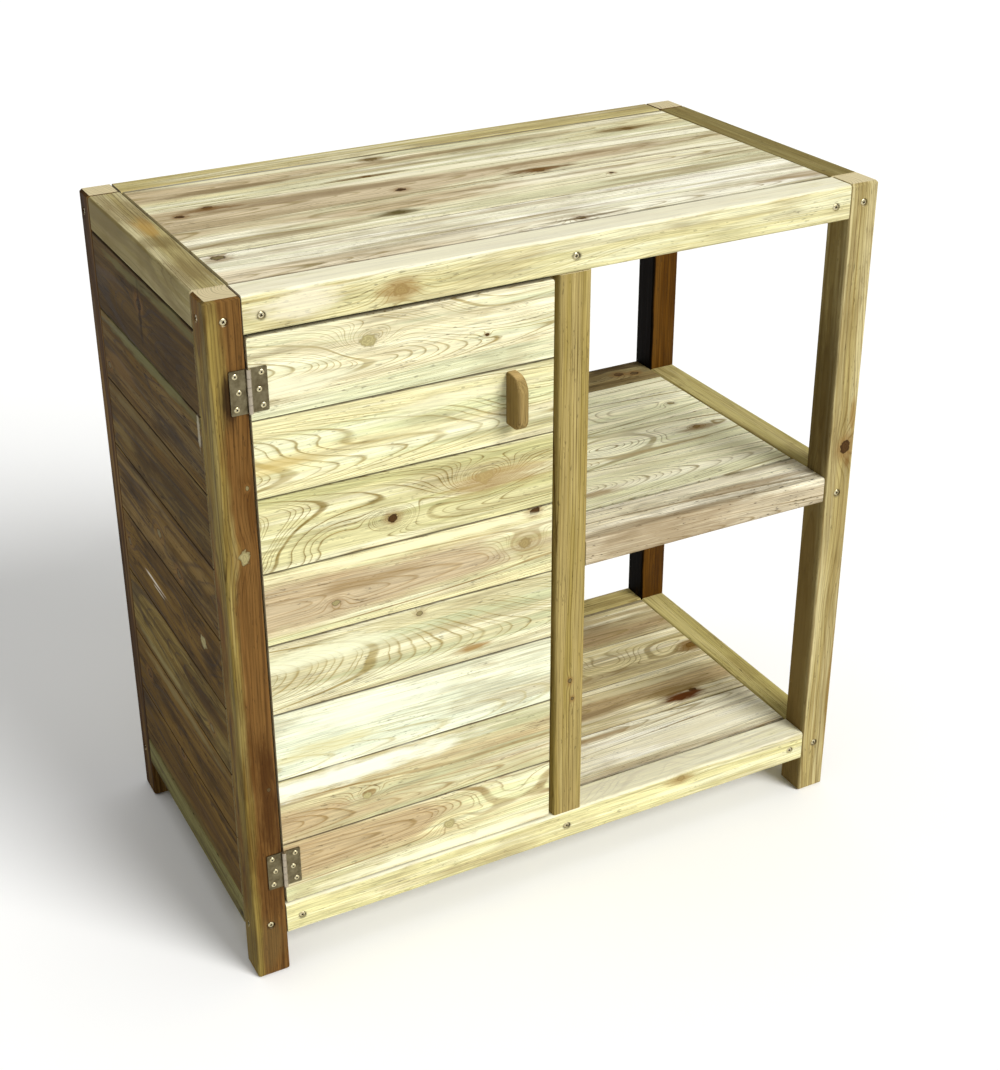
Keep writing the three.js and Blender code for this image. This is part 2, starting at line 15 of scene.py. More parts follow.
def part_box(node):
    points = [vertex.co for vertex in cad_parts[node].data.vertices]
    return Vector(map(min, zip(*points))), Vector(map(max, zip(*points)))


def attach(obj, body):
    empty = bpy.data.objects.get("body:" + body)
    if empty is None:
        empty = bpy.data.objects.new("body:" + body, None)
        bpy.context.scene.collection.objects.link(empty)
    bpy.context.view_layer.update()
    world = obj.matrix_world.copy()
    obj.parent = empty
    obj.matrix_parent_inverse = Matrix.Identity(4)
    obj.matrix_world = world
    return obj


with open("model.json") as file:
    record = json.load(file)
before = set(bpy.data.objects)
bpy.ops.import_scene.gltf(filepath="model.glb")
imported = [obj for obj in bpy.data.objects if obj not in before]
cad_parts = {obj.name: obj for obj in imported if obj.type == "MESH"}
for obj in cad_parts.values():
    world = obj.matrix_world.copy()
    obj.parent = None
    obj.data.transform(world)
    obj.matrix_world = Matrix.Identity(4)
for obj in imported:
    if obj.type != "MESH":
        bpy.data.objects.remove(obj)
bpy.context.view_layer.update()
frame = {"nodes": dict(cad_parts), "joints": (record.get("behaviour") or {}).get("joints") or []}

LOG = logging.getLogger("potting_bench")
MM = 0.001
FRONT_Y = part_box("top_rail_front")[0].y
BACK_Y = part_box("top_rail_back")[1].y
LEFT_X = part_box("post_front_left")[0].x
RIGHT_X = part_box("post_front_right")[1].x
PIN_X = frame["joints"][0]["pos_m"][0]

Colour = tuple[float, float, float, float]
Triple = tuple[float, float, float]
Socket = bpy.types.NodeSocket
Tree = bpy.types.NodeTree

# What a node needs to mix two colours (its inputs are the share, five that are left alone, then
# the colours), and to go smoothly from one level to another.
SKIP = (None,) * 5
MIXED = {"out": 2, "data_type": "RGBA"}
SMOOTH = {"interpolation_type": "SMOOTHSTEP"}


def linear(hex_colour: str) -> Colour:
    """Turns an sRGB hex colour such as "#e8e4bb" into linear light.

    Args:
        hex_colour: six hex digits after a hash.

    Returns:
        Red, green, blue and an alpha of one.
    """
    parts = (int(hex_colour[i : i + 2], 16) / 255 for i in (1, 3, 5))
    red, green, blue = (
        c / 12.92 if c <= 0.04045 else ((c + 0.055) / 1.055) ** 2.4 for c in parts
    )
    return (red, green, blue, 1.0)


def add_node(
    tree: Tree, kind: str, *values: object, named: dict[str, object] | None = None,
    out: int | str = 0, **settings: object,
) -> Socket:
    """Adds one node, sets it up and joins it to what feeds it.

    Args:
        tree: the node tree that it goes into.
        kind: the node's type, without "ShaderNode", and for mathematics the operation after it.
        values: its inputs in order; a socket is linked, None leaves the input alone.
        named: more inputs, by name.
        out: which output is wanted.
        settings: the node's own properties.

    Returns:
        The wanted output socket, or the first input of a node that has no output.
    """
    sort, _, operation = kind.partition(" ")
    node = tree.nodes.new(sort if "Node" in sort else f"ShaderNode{sort}")
    if operation:
        settings["operation"] = operation
    for name, value in settings.items():
        setattr(node, name, value)
    pairs = list(zip(node.inputs, values))
    pairs += [(node.inputs[label], value) for label, value in (named or {}).items()]
    for socket, value in pairs:
        if isinstance(value, Socket):
            tree.links.new(value, socket)
        elif value is not None:
            socket.default_value = value
    return node.outputs[out] if node.outputs else node.inputs[0]


def new_group(
    name: str, inputs: dict[str, str], outputs: dict[str, str], kind: str = "ShaderNodeTree"
) -> tuple[Tree, dict[str, Socket]]:
    """Starts a node group with named sockets.

    Args:
        name: the group's name.
        inputs: socket name to the kind of socket, such as "Float".
        outputs: the same for what it gives.
        kind: "ShaderNodeTree" or "GeometryNodeTree".

    Returns:
        The tree, and its inputs by name.
    """
    tree = bpy.data.node_groups.new(name, kind)
    for way, sockets in (("INPUT", inputs), ("OUTPUT", outputs)):
        for label, sort in sockets.items():
            tree.interface.new_socket(label, in_out=way, socket_type=f"NodeSocket{sort}")
    entry = tree.nodes.new("NodeGroupInput")
    return tree, {label: entry.outputs[label] for label in inputs}


def new_material(name: str) -> bpy.types.Material:
    """Starts a material with an empty node tree.

    Args:
        name: the material's name.

    Returns:
        The material.
    """
    material = bpy.data.materials.new(name)
    material.use_nodes = True
    material.node_tree.nodes.clear()
    return material


def close_material(tree: Tree, inputs: dict[str, object]) -> None:
    """Ends a material's tree in one Principled shader.

    Args:
        tree: the material's tree.
        inputs: what the shader is given, by name.
    """
    add_node(tree, "OutputMaterial", add_node(tree, "BsdfPrincipled", named=inputs))


def new_object(name: str, data: bpy.types.ID) -> bpy.types.Object:
    """Makes an object and puts it in the scene.

    Args:
        name: the object's name.
        data: its mesh, light or camera.

    Returns:
        The object.
    """
    made = bpy.data.objects.new(name, data)
    bpy.context.scene.collection.objects.link(made)
    return made


def plain_mesh(piece: bpy.types.Object) -> bpy.types.Mesh:
    """Turns what a piece's modifiers give into a plain mesh, and takes the modifiers off.

    Args:
        piece: the object.

    Returns:
        Its new mesh.
    """
    bpy.context.view_layer.update()
    graph = bpy.context.evaluated_depsgraph_get()
    mesh = bpy.data.meshes.new_from_object(piece.evaluated_get(graph))
    piece.modifiers.clear()
    piece.data = mesh
    return mesh


def paint(piece: bpy.types.Object, material: bpy.types.Material) -> None:
    """Puts one material on the whole of a piece."""
    piece.data.materials.clear()
    piece.data.materials.append(material)


class Lie(Enum):
    """How a timber lies: its axes along the grain, across its show face and into it.

    The number is the way that the show face looks along the last of them.
    """

    RAIL_FRONT = ("xzy", -1)
    BOARD_FLAT = ("xyz", 1)
    SIDE_FLAT = ("yxz", 1)
    SIDE_UPRIGHT = ("yzx", -1)
    POST = ("zxy", -1)

    def axes(self) -> list[int]:
        """Gives the numbers of the three axes."""
        return ["xyz".index(letter) for letter in self.value[0]]


class Cut(Enum):
    """How a timber was machined: all round, or as a board that keeps its tongue or has lost it."""

    PLANED = 0
    TONGUED = 1
    LAST = 2


@dataclass(frozen=True)
class Knot:
    """A knot, with its place in millimetres from the middle of its timber.

    tone runs from 0, dark and dead, to 1, pale and full of resin.
    """

    along: float
    across: float
    radius: float = 5.0
    pull: float = 9.0
    tone: float = 0.3


@dataclass(frozen=True)
class Swell:
    """A place where the trunk bulged, so that the rings nest round it like contour lines."""

    along: float
    across: float
    long: float = 110.0
    wide: float = 40.0
    pull: float = 24.0


@dataclass(frozen=True)
class Patch:
    """A stain or rough spot, oval, in millimetres from the middle of its timber."""

    along: float
    across: float
    long: float
    wide: float
    colour: str
    strength: float = 0.7


@dataclass(frozen=True)
class Seat:
    """Where a screw's head sits, in metres, and which way it faces."""

    place: Triple
    outward: Triple
    diameter: float


@dataclass(frozen=True)
class Pine:
    """Pressure-treated pine, planed: sapwood greened by the salts, pinkish heartwood.

    The growth rings are cylinders round a pith that lies beside or under the timber, so a flat
    board shows arches, a quartered one straight lines and an end the rings themselves.
    Sizes are in millimetres: ring is one year's growth, wander how far the pith strays.
    """

    sap: str = "#d9d2a2"
    tint: str = "#cccd9e"
    bleach: str = "#ece8c8"
    heart: str = "#b79e74"
    late: str = "#8f7a42"
    late_share: float = 0.75
    ring: float = 3.6
    pith_across: float = 10.0
    pith_under: float = 50.0
    wander: float = 8.0
    taper: float = 30.0
    heart_radius: float = 0.0
    heart_edge: float = 12.0
    stain: str = "#8f7d58"
    stain_share: float = 0.35
    streak_share: float = 0.35
    bleach_share: float = 0.5
    fibre: float = 0.36
    fleck_share: float = 0.4
    crack_share: float = 0.0
    # How much the joints darken: partly soil, partly painted shade in the grooves.
    joint_soil_and_shade: float = 0.75
    end: str = "#d3c9a2"
    roughness: float = 0.66


Mark = Knot | Swell | Patch
Look = tuple[Pine, tuple[Mark, ...]]

# How the wood's patterns are stretched: repeats in a millimetre along and across the grain, then
# the noise's detail and roughness.  Real fibres are finer and are drawn as coarse as they show.
GRAIN = {
    "stray": (0.0022, 0.012, 1.0, 0.4),
    "unrest": (0.016, 0.07, 2.0, 0.5),
    "fibres": (0.014, 0.50, 4.0, 0.66),
    "bands": (0.0022, 0.052, 3.0, 0.6),
    "clouds": (0.007, 0.026, 4.0, 0.62),
    "dashes": (0.09, 0.42, 2.0, 0.5),
    "cracks": (0.0032, 0.085, 2.0, 0.5),
}
# Where each feature begins and where it is full, then its levels there if not 0 and 1.
RAMPS = {
    "tint": (0.42, 0.58), "bleach": (0.50, 0.62), "stain": (0.49, 0.66), "streak": (0.52, 0.62),
    "ring depth": (0.3, 0.7, 0.5, 1.2), "torn": (0.45, 0.62, 0.0, 0.06), "dash": (0.66, 0.74),
    "crack": (0.004, 0.013, 1.0, 0.0), "dry": (0.46, 0.56), "joint": (1.5, 0.3),
    "halo tone": (0.0, 1.0, 1.0, 0.25), "halo": (1.0, 3.0, 0.6, 0.0), "in knot": (1.08, 0.86),
    "branch light": (-1.0, 1.0, 0.82, 1.06), "rim": (0.05, 0.24, 0.85, 0.0),
    "end light": (0.0, 1.0, 1.06, 0.72), "patch": (1.1, 0.35),
}
# How dark a year's growth is from spring to autumn, on a scale where late wood is 1; how far the
# years differ, and how far a ring strays as a share of its width.
SEASONS = ((0.56, 0.0), (1.0, 0.05), (0.76, 0.25), (0.87, 1.0), (0.93, 0.9))
YEARS_FINE, YEARS_DIFFER, RING_UNREST = 0.37, 2.6, 0.6
# What noise between 0 and 1 is multiplied by and then given, to sway evenly about nothing.
HEART_SWAY, KNOT_SWAY, PATCH_SWAY, EVEN_SWAY = (24.0, -12.0), (1.5, -0.75), (1.6, -0.8), (2.0, -1.0)
# How far the joints' darkening, partly soil and partly painted shade, spreads out of them.
JOINT_SOIL_AND_SHADE_CREEP_MM = (2.4, -1.1)
FIBRE_GAIN = 2.2
BRANCH_RINGS = 15.0
KNOT_RIM = 0.98
# What late wood and fibres do to the roughness, and what stands proud or lies deep.
LATE_ROUGH, FIBRE_ROUGH = -0.10, 0.22
LATE_RISE, BLEMISH_RISE, RIM_RISE, RELIEF_MM = 0.18, -1.2, -0.5, 0.22
KNOT_SPREAD = (0.5, 1.0, 0.1)
KNOT_OVAL = (0.72, 1.0, 0.4)
KNOT_FALL = 0.42
NO_KNOT = 99.0
PATCH_RAG = (0.02, 0.12, 0.12)
# The last of these darkens the boards' joints: partly soil gathered there, partly painted shade in
# the grooves.
CRACK_COLOUR, HALO_COLOUR, RIM_COLOUR, JOINT_SOIL_AND_SHADE_COLOUR = "#2b2013", "#7d5a2e", "#33200f", "#37291a"
DEAD_BRANCH, LIVE_BRANCH = "#4a3319", "#b5ab78"


def build_knot_group() -> Tree:
    """Makes the group that bends the rings round one knot and keeps the nearest knot's tone.

    Returns:
        The node group.
    """
    numbers = ("Radius", "Pull", "Tone", "Bend", "Nearness", "Tone so far")
    tree, given = new_group(
        "knot",
        {"Place": "Vector", "Centre": "Vector"} | dict.fromkeys(numbers, "Float"),
        dict.fromkeys(("Bend", "Nearness", "Tone"), "Float"),
    )
    add = partial(add_node, tree)
    away = add("VectorMath SUBTRACT", given["Place"], given["Centre"])
    # The rings part along the grain for about twice as far as across it.
    arm = add("VectorMath MULTIPLY", away, KNOT_SPREAD)
    arm_far = add("VectorMath LENGTH", arm, out="Value")
    arm_share = add("Math DIVIDE", arm_far, given["Radius"])
    arm_near = add("Math MULTIPLY", arm_share, KNOT_FALL)
    fall = add("Math MULTIPLY", add("Math POWER", arm_near, 2.0), -1.0)
    hump = add("Math EXPONENT", fall)
    bend = add("Math MULTIPLY_ADD", hump, given["Pull"], given["Bend"])

    oval = add("VectorMath MULTIPLY", away, KNOT_OVAL)
    far = add("VectorMath LENGTH", oval, out="Value")
    share = add("Math DIVIDE", far, given["Radius"])
    ragged = add("TexNoise", given["Place"], None, 0.14, 2.0, 0.6)
    rough = add("Math MULTIPLY_ADD", ragged, *KNOT_SWAY)
    reach = add("Math ADD", share, rough)
    nearest = add("Math MINIMUM", reach, given["Nearness"])
    closer = add("Math LESS_THAN", reach, given["Nearness"])
    tone = add("Mix", closer, None, given["Tone so far"], given["Tone"])
    add("NodeGroupOutput", bend, nearest, tone)
    return tree


def build_swell_group() -> Tree:
    """Makes the group that adds one long smooth hump to the rings' depth.

    Returns:
        The node group.
    """
    tree, given = new_group(
        "swell",
        dict.fromkeys(("Place", "Centre", "Reach"), "Vector") | {"Pull": "Float", "Bend": "Float"},
        {"Bend": "Float"},
    )
    add = partial(add_node, tree)
    away = add("VectorMath SUBTRACT", given["Place"], given["Centre"])
    share = add("VectorMath MULTIPLY", away, given["Reach"])
    squared = add("VectorMath DOT_PRODUCT", share, share, out="Value")
    fall = add("Math MULTIPLY", squared, -1.0)
    hump = add("Math EXPONENT", fall)
    add("NodeGroupOutput", add("Math MULTIPLY_ADD", hump, given["Pull"], given["Bend"]))
    return tree


def build_patch_group() -> Tree:
    """Makes the group that lays one ragged oval stain over a colour.

    Returns:
        The node group.
    """
    tree, given = new_group(
        "stain patch",
        {"Colour": "Color", "Place": "Vector", "Centre": "Vector", "Reach": "Vector",
         "Stain": "Color", "Strength": "Float"},
        {"Colour": "Color"},
    )
    add = partial(add_node, tree)
    away = add("VectorMath SUBTRACT", given["Place"], given["Centre"])
    share = add("VectorMath MULTIPLY", away, given["Reach"])
    far = add("VectorMath LENGTH", share, out="Value")
    stretched = add("VectorMath MULTIPLY", given["Place"], PATCH_RAG)
    ragged = add("TexNoise", stretched, None, 1.0, 4.0, 0.6)
    edge = add("Math MULTIPLY_ADD", ragged, *PATCH_SWAY)
    reach = add("Math ADD", far, edge)
    inside = add("MapRange", reach, *RAMPS["patch"], **SMOOTH)
    much = add("Math MULTIPLY", inside, given["Strength"])
    add("NodeGroupOutput", add("Mix", much, *SKIP, given["Colour"], given["Stain"], **MIXED))
    return tree


def build_pine_group() -> Tree:
    """Makes the solid figure of the wood: rings, heart, fibres, streaks, cracks, knots, and joints
    darkened partly by soil and partly as painted shade.

    Returns:
        The node group.
    """
    numbers = (
        "End", "Edge", "Bend", "Nearness", "Tone", "Ring", "Wander", "Taper", "Heart radius",
        "Heart edge", "Late share", "Stain share", "Streak share", "Bleach share", "Fibre",
        "Fleck share", "Crack share", "Joint soil and shade", "Roughness",
    )
    colours = ("Sap", "Tint", "Bleach", "Heart", "Late", "Stain", "End colour")
    tree, given = new_group(
        "treated pine",
        dict.fromkeys(("Place", "Shift", "Pith"), "Vector")
        | dict.fromkeys(numbers, "Float") | dict.fromkeys(colours, "Color"),
        {"Colour": "Color", "Roughness": "Float", "Height": "Float"},
    )
    add = partial(add_node, tree)
    place = add("VectorMath ADD", given["Place"], given["Shift"])
    noise, noises = {}, {}
    for label, (fine_along, fine_across, detail, rough) in GRAIN.items():
        scale = (fine_along, fine_across, fine_across)
        stretched = add("VectorMath MULTIPLY", place, scale)
        noise[label], noises[label] = add(
            "TexNoise", stretched, None, 1.0, detail, rough
        ).node.outputs

    # Rings: distance from a pith that strays, thickened upwards, and bent by knots and swells.
    stray = add("VectorMath SUBTRACT", noises["stray"], (0.5, 0.5, 0.5))
    shifted = add("VectorMath SCALE", stray, None, None, given["Wander"])
    from_pith = add("VectorMath SUBTRACT", given["Place"], given["Pith"])
    strayed = add("VectorMath ADD", from_pith, shifted)
    flat = add("VectorMath MULTIPLY", strayed, (0.0, 1.0, 1.0))
    radius = add("VectorMath LENGTH", flat, out="Value")
    along = add("SeparateXYZ", given["Place"])
    rise = add("Math MULTIPLY", given["Taper"], MM)
    tapered = add("Math MULTIPLY_ADD", along, rise, radius)
    depth = add("Math ADD", tapered, given["Bend"])
    unrest = add("Math MULTIPLY", given["Ring"], RING_UNREST)
    wobble = add("Math MULTIPLY_ADD", noise["unrest"], unrest, depth)
    years = add("Math DIVIDE", wobble, given["Ring"])
    season = add("TexNoise", None, years, YEARS_FINE, 1.0, 0.5, noise_dimensions="1D")
    uneven = add("Math MULTIPLY_ADD", season, YEARS_DIFFER, years)
    late = add("ValToRGB", add("Math FRACT", uneven))
    stops = late.node.color_ramp.elements
    for k, (position, level) in enumerate(SEASONS):
        stop = stops[k] if k < 2 else stops.new(position)
        stop.position, stop.color = position, (level, level, level, 1.0)

    # Long streaks and clouds, each in its own channel of a stretched noise.
    fibre = noise["fibres"]
    band_red, band_green, band_blue = add("SeparateColor", noises["bands"]).node.outputs
    cloud_red, cloud_green, cloud_blue = add("SeparateColor", noises["clouds"]).node.outputs

    tinted = add("MapRange", band_red, *RAMPS["tint"], **SMOOTH)
    sapwood = add("Mix", tinted, *SKIP, given["Sap"], given["Tint"], **MIXED)
    pale_band = add("MapRange", band_blue, *RAMPS["bleach"], **SMOOTH)
    bleaching = add("Math MULTIPLY", pale_band, given["Bleach share"])
    bleached = add("Mix", bleaching, *SKIP, sapwood, given["Bleach"], **MIXED)
    drift = add("Math MULTIPLY_ADD", cloud_red, *HEART_SWAY)
    heart_depth = add("Math ADD", depth, drift)
    inner = add("Math SUBTRACT", given["Heart radius"], given["Heart edge"])
    heart_share = add("MapRange", heart_depth, given["Heart radius"], inner, **SMOOTH)
    wood = add("Mix", heart_share, *SKIP, bleached, given["Heart"], **MIXED)
    for channel, sort in ((cloud_green, "stain"), (band_green, "streak")):
        stained = add("MapRange", channel, *RAMPS[sort], **SMOOTH)
        much = add("Math MULTIPLY", stained, given[f"{sort.capitalize()} share"])
        wood = add("Mix", much, *SKIP, wood, given["Stain"], **MIXED)
    ring_depth = add("MapRange", cloud_blue, *RAMPS["ring depth"], **SMOOTH)
    lined = add("Math MULTIPLY", late, ring_depth)
    late_much = add("Math MULTIPLY", lined, given["Late share"])
    ringed = add("Mix", late_much, *SKIP, wood, given["Late"], **MIXED)
    centred = add("Math MULTIPLY_ADD", fibre, *EVEN_SWAY)
    fibre_much = add("Math MULTIPLY", given["Fibre"], FIBRE_GAIN)
    fibre_light = add("Math MULTIPLY_ADD", centred, fibre_much, 1.0)
    streaky = add("VectorMath SCALE", ringed, None, None, fibre_light)

    # Flecks: short dark dashes where the planer tore the fibres.  Cracks: drying checks.
    torn = add("MapRange", cloud_blue, *RAMPS["torn"], **SMOOTH)
    dash_high = add("Math ADD", noise["dashes"], torn)
    dash = add("MapRange", dash_high, *RAMPS["dash"], **SMOOTH)
    fleck = add("Math MULTIPLY", dash, given["Fleck share"])
    from_line = add("Math SUBTRACT", noise["cracks"], 0.5)
    off_line = add("Math ABSOLUTE", from_line)
    thin = add("MapRange", off_line, *RAMPS["crack"], **SMOOTH)
    dry = add("MapRange", cloud_green, *RAMPS["dry"], **SMOOTH)
    crack_zone = add("Math MULTIPLY", dry, given["Crack share"])
    crack = add("Math MULTIPLY", thin, crack_zone)
    blemish = add("Math MAXIMUM", fleck, crack)
    marked = add("Mix", blemish, *SKIP, streaky, linear(CRACK_COLOUR), **MIXED)

    # Knots: a brown halo with the grain, a dark bark rim, and the branch's own rings inside.
    near, tone = given["Nearness"], given["Tone"]
    halo_dark = add("MapRange", tone, *RAMPS["halo tone"], **SMOOTH)
    halo = add("MapRange", near, *RAMPS["halo"], **SMOOTH)
    halo_much = add("Math MULTIPLY", halo, halo_dark)
    haloed = add("Mix", halo_much, *SKIP, marked, linear(HALO_COLOUR), **MIXED)
    branch_wave = add("Math SINE", add("Math MULTIPLY", near, BRANCH_RINGS))
    branch_light = add("MapRange", branch_wave, *RAMPS["branch light"], **SMOOTH)
    dead, live = linear(DEAD_BRANCH), linear(LIVE_BRANCH)
    branch_colour = add("Mix", tone, *SKIP, dead, live, **MIXED)
    branch = add("VectorMath SCALE", branch_colour, None, None, branch_light)
    inside = add("MapRange", near, *RAMPS["in knot"], **SMOOTH)
    knotted = add("Mix", inside, *SKIP, haloed, branch, **MIXED)
    rim_off = add("Math ABSOLUTE", add("Math SUBTRACT", near, KNOT_RIM))
    rim = add("MapRange", rim_off, *RAMPS["rim"], **SMOOTH)
    rim_much = add("Math MULTIPLY", rim, halo_dark)
    rimmed = add("Mix", rim_much, *SKIP, knotted, linear(RIM_COLOUR), **MIXED)

    # The joints darken, and the dark creeps a little way out of them: partly soil gathered there,
    # partly painted shade in the grooves between the boards.
    creep = add("Math MULTIPLY_ADD", cloud_blue, *JOINT_SOIL_AND_SHADE_CREEP_MM)
    off_joint = add("Math SUBTRACT", given["Edge"], creep)
    joint = add("MapRange", off_joint, *RAMPS["joint"], **SMOOTH)
    soil_and_shade_much = add("Math MULTIPLY", joint, given["Joint soil and shade"])
    soiled_and_shaded = add("Mix", soil_and_shade_much, *SKIP, rimmed, linear(JOINT_SOIL_AND_SHADE_COLOUR), **MIXED)

    # End grain: the sawn ends dry pale and show the rings.
    end_light = add("MapRange", late, *RAMPS["end light"], **SMOOTH)
    end_wood = add("VectorMath SCALE", given["End colour"], None, None, end_light)
    ended = add("Mix", given["End"], *SKIP, soiled_and_shaded, end_wood, **MIXED)

    fibre_rough = add("Math MULTIPLY_ADD", fibre, FIBRE_ROUGH, given["Roughness"])
    rough = add("Math MULTIPLY_ADD", late, LATE_ROUGH, fibre_rough)
    ridged = add("Math MULTIPLY_ADD", late, LATE_RISE, fibre)
    sunk = add("Math MULTIPLY_ADD", blemish, BLEMISH_RISE, ridged)
    lumpy = add("Math MULTIPLY_ADD", rim, RIM_RISE, sunk)
    height = add("Math MULTIPLY", lumpy, RELIEF_MM)
    add("NodeGroupOutput", ended, rough, height)
    return tree


@dataclass
class PineShop:
    """Makes one material for each timber out of the shared wood groups.

    step_mm and step_shares set each timber's figure well apart from the last one's.  Noise keeps
    near its middle, so wander_gain widens the pith's path to its full size, and fibre_rough is
    what the fibres add to the roughness on average.
    """

    seats: list[Seat]
    # The dark ring round each sunk screw head is painted shade: its size, colour and strength.
    screw_shade_mm: float = 6.4
    screw_shade_colour: str = "#2e2011"
    screw_shade_strength: float = 0.9
    tongue: float = 6.0 * MM
    specular: float = 0.04
    step_mm: float = 137.0
    step_shares: Triple = (1.0, 0.61, 0.37)
    wander_gain: float = 3.0
    fibre_rough: float = 0.11
    end_facing: tuple[float, float] = (0.75, 0.95)
    end_strength: float = 0.9
    knot_tree: Tree = field(default_factory=build_knot_group)
    swell_tree: Tree = field(default_factory=build_swell_group)
    patch_tree: Tree = field(default_factory=build_patch_group)
    pine_tree: Tree = field(default_factory=build_pine_group)
    made: int = 0

    def material(
        self, name: str, lie: Lie, pine: Pine, marks: tuple[Mark, ...], cut: Cut
    ) -> bpy.types.Material:
        """Makes the wood of one timber.

        Args:
            name: the timber's node name, which places the figure round its own show face.
            lie: how the timber lies.
            pine: the finish.
            marks: its knots, swells and patches.
            cut: how it was machined; a hidden tongue widens its box, and joints darken with soil
                and painted shade.

        Returns:
            The material.
        """
        self.made += 1
        along, across, into = lie.axes()
        outward = lie.value[1]
        low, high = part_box(name)
        high = high.copy()
        if cut is Cut.TONGUED:
            high[across] -= self.tongue
        centre, half = (low + high) / 2, (high - low) / (2 * MM)
        face = outward * half[into]

        material = new_material(f"treated pine {name}")
        add = partial(add_node, material.node_tree)
        where = add("TexCoord", out="Object")
        moved = add("VectorMath SUBTRACT", where, tuple(centre))
        in_mm = add("VectorMath SCALE", moved, None, None, 1 / MM)
        parts = add("SeparateXYZ", in_mm).node.outputs
        place = add("CombineXYZ", parts[along], parts[across], parts[into])
        sides = add("SeparateXYZ", where.node.outputs["Normal"]).node.outputs
        along_face = add("Math ABSOLUTE", sides[along])
        end = add("MapRange", along_face, *self.end_facing, 0.0, self.end_strength)
        off_middle = add("Math ABSOLUTE", parts[across])
        edge = add("Math SUBTRACT", half[across], off_middle)

        bend, near, tone = 0.0, NO_KNOT, 0.0
        for mark in marks:
            at = (mark.along, mark.across, face)
            if isinstance(mark, Knot):
                bend, near, tone = add(
                    "Group", place, at, mark.radius, mark.pull, mark.tone, bend, near, tone,
                    node_tree=self.knot_tree,
                ).node.outputs
            elif isinstance(mark, Swell):
                reach = (1 / mark.long, 1 / mark.wide, 0.0)
                bend = add("Group", place, at, reach, mark.pull, bend, node_tree=self.swell_tree)

        spread = self.made * self.step_mm
        given = {
            "Place": place, "Shift": [spread * share for share in self.step_shares], "End": end,
            "Edge": edge, "Bend": bend, "Nearness": near, "Tone": tone,
            "Pith": (0.0, pine.pith_across, face - outward * pine.pith_under),
            "Wander": self.wander_gain * pine.wander, "End colour": linear(pine.end),
            "Joint soil and shade": 0.0 if cut is Cut.PLANED else pine.joint_soil_and_shade,
            "Roughness": pine.roughness - self.fibre_rough,
        }
        for label in ("Ring", "Taper", "Heart radius", "Heart edge", "Late share", "Stain share",
                      "Streak share", "Bleach share", "Fibre", "Fleck share", "Crack share"):
            given[label] = getattr(pine, label.lower().replace(" ", "_"))
        for label in ("Sap", "Tint", "Bleach", "Heart", "Late", "Stain"):
            given[label] = linear(getattr(pine, label.lower()))
        wood = add("Group", named=given, node_tree=self.pine_tree).node

        colour = wood.outputs["Colour"]
        for mark in marks:
            if isinstance(mark, Patch):
                reach = (1 / mark.long, 1 / mark.wide, 0.0)
                colour = add(
                    "Group", colour, place, (mark.along, mark.across, face), reach,
                    linear(mark.colour), mark.strength, node_tree=self.patch_tree,
                )

        close_material(material.node_tree, {
            "Base Color": colour, "Roughness": wood.outputs["Roughness"],
            "Normal": add("Bump", 0.8, MM, None, wood.outputs["Height"]),
            "Specular IOR Level": self.specular,
        })
        return material

    def screw_shade_rings(self, name: str, lie: Lie) -> tuple[Patch, ...]:
        """Finds the rings of painted shade round the screws sunk into a timber's show face.

        Args:
            name: the timber's node name.
            lie: how the timber lies.

        Returns:
            One small round patch of painted shade for each screw that goes straight into the face.
        """
        along, across, into = lie.axes()
        low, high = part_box(name)
        middle = (low + high) / 2
        return tuple(
            Patch((seat.place[along] - middle[along]) / MM,
                  (seat.place[across] - middle[across]) / MM,
                  self.screw_shade_mm, self.screw_shade_mm, self.screw_shade_colour, self.screw_shade_strength)
            for seat in self.seats
            if seat.outward[into] and all(low[i] < seat.place[i] < high[i] for i in range(3))
        )

    def dress(
        self, name: str, lie: Lie, pine: Pine, *marks: Mark, cut: Cut = Cut.PLANED
    ) -> None:
        """Gives a carried-over timber its wood.

        Args:
            name: the timber's node name.
            lie: how the timber lies.
            pine: the finish.
            marks: its knots, swells and patches.
            cut: how it was machined.
        """
        # Each screw sunk into the show face gets a ring of painted shade.
        marks += self.screw_shade_rings(name, lie)
        paint(frame["nodes"][name], self.material(name, lie, pine, marks, cut))
        LOG.info("%s dressed in pine with %d marks", name, len(marks))

    def dress_boards(
        self, run: str, lie: Lie, looks: tuple[Look, ...], last: Cut = Cut.LAST
    ) -> None:
        """Gives each board of a tongued run its own figure, in the order of their numbers.

        Args:
            run: the boards' node name, before its number.
            lie: how the boards lie.
            looks: the finish and the marks of each.
            last: how the last board was machined.
        """
        for count, (pine, marks) in enumerate(looks, start=1):
            cut = Cut.TONGUED if count < len(looks) else last
            self.dress(f"{run}_{count}", lie, pine, *marks, cut=cut)


PALE = Pine()
TAN = Pine(
    sap="#a99a63", tint="#9a8a52", bleach="#c3b683", heart="#8b6c3c", late="#5f4c22",
    late_share=0.7, ring=3.4, stain="#6f5a2f", end="#d0c29a", fibre=0.26, joint_soil_and_shade=0.7,
)
BROWN = Pine(
    sap="#7a5a2c", tint="#664822", bleach="#94733c", heart="#553512", late="#38210c",
    late_share=0.6, ring=3.0, stain="#331f0c", stain_share=0.45, streak_share=0.4,
    end="#cbbd95", crack_share=0.3, fibre=0.30, joint_soil_and_shade=0.7,
)
# A darker copy for the pieces that stand in shade: partly weathered wood, partly painted shade.
SHADED = Pine(
    sap="#725724", tint="#60481c", bleach="#896b36", heart="#4e3512", late="#2e1e0b",
    late_share=0.6, ring=2.8, stain="#37260f", stain_share=0.6, streak_share=0.5,
    bleach_share=0.25, crack_share=0.8, fleck_share=0.7, end="#a89870", fibre=0.30, joint_soil_and_shade=0.9,
)
# Pith this far to the side gives the straight lines of quarter-sawn timber.
QUARTERED = 170.0
HIDDEN = replace(TAN, pith_across=70.0)


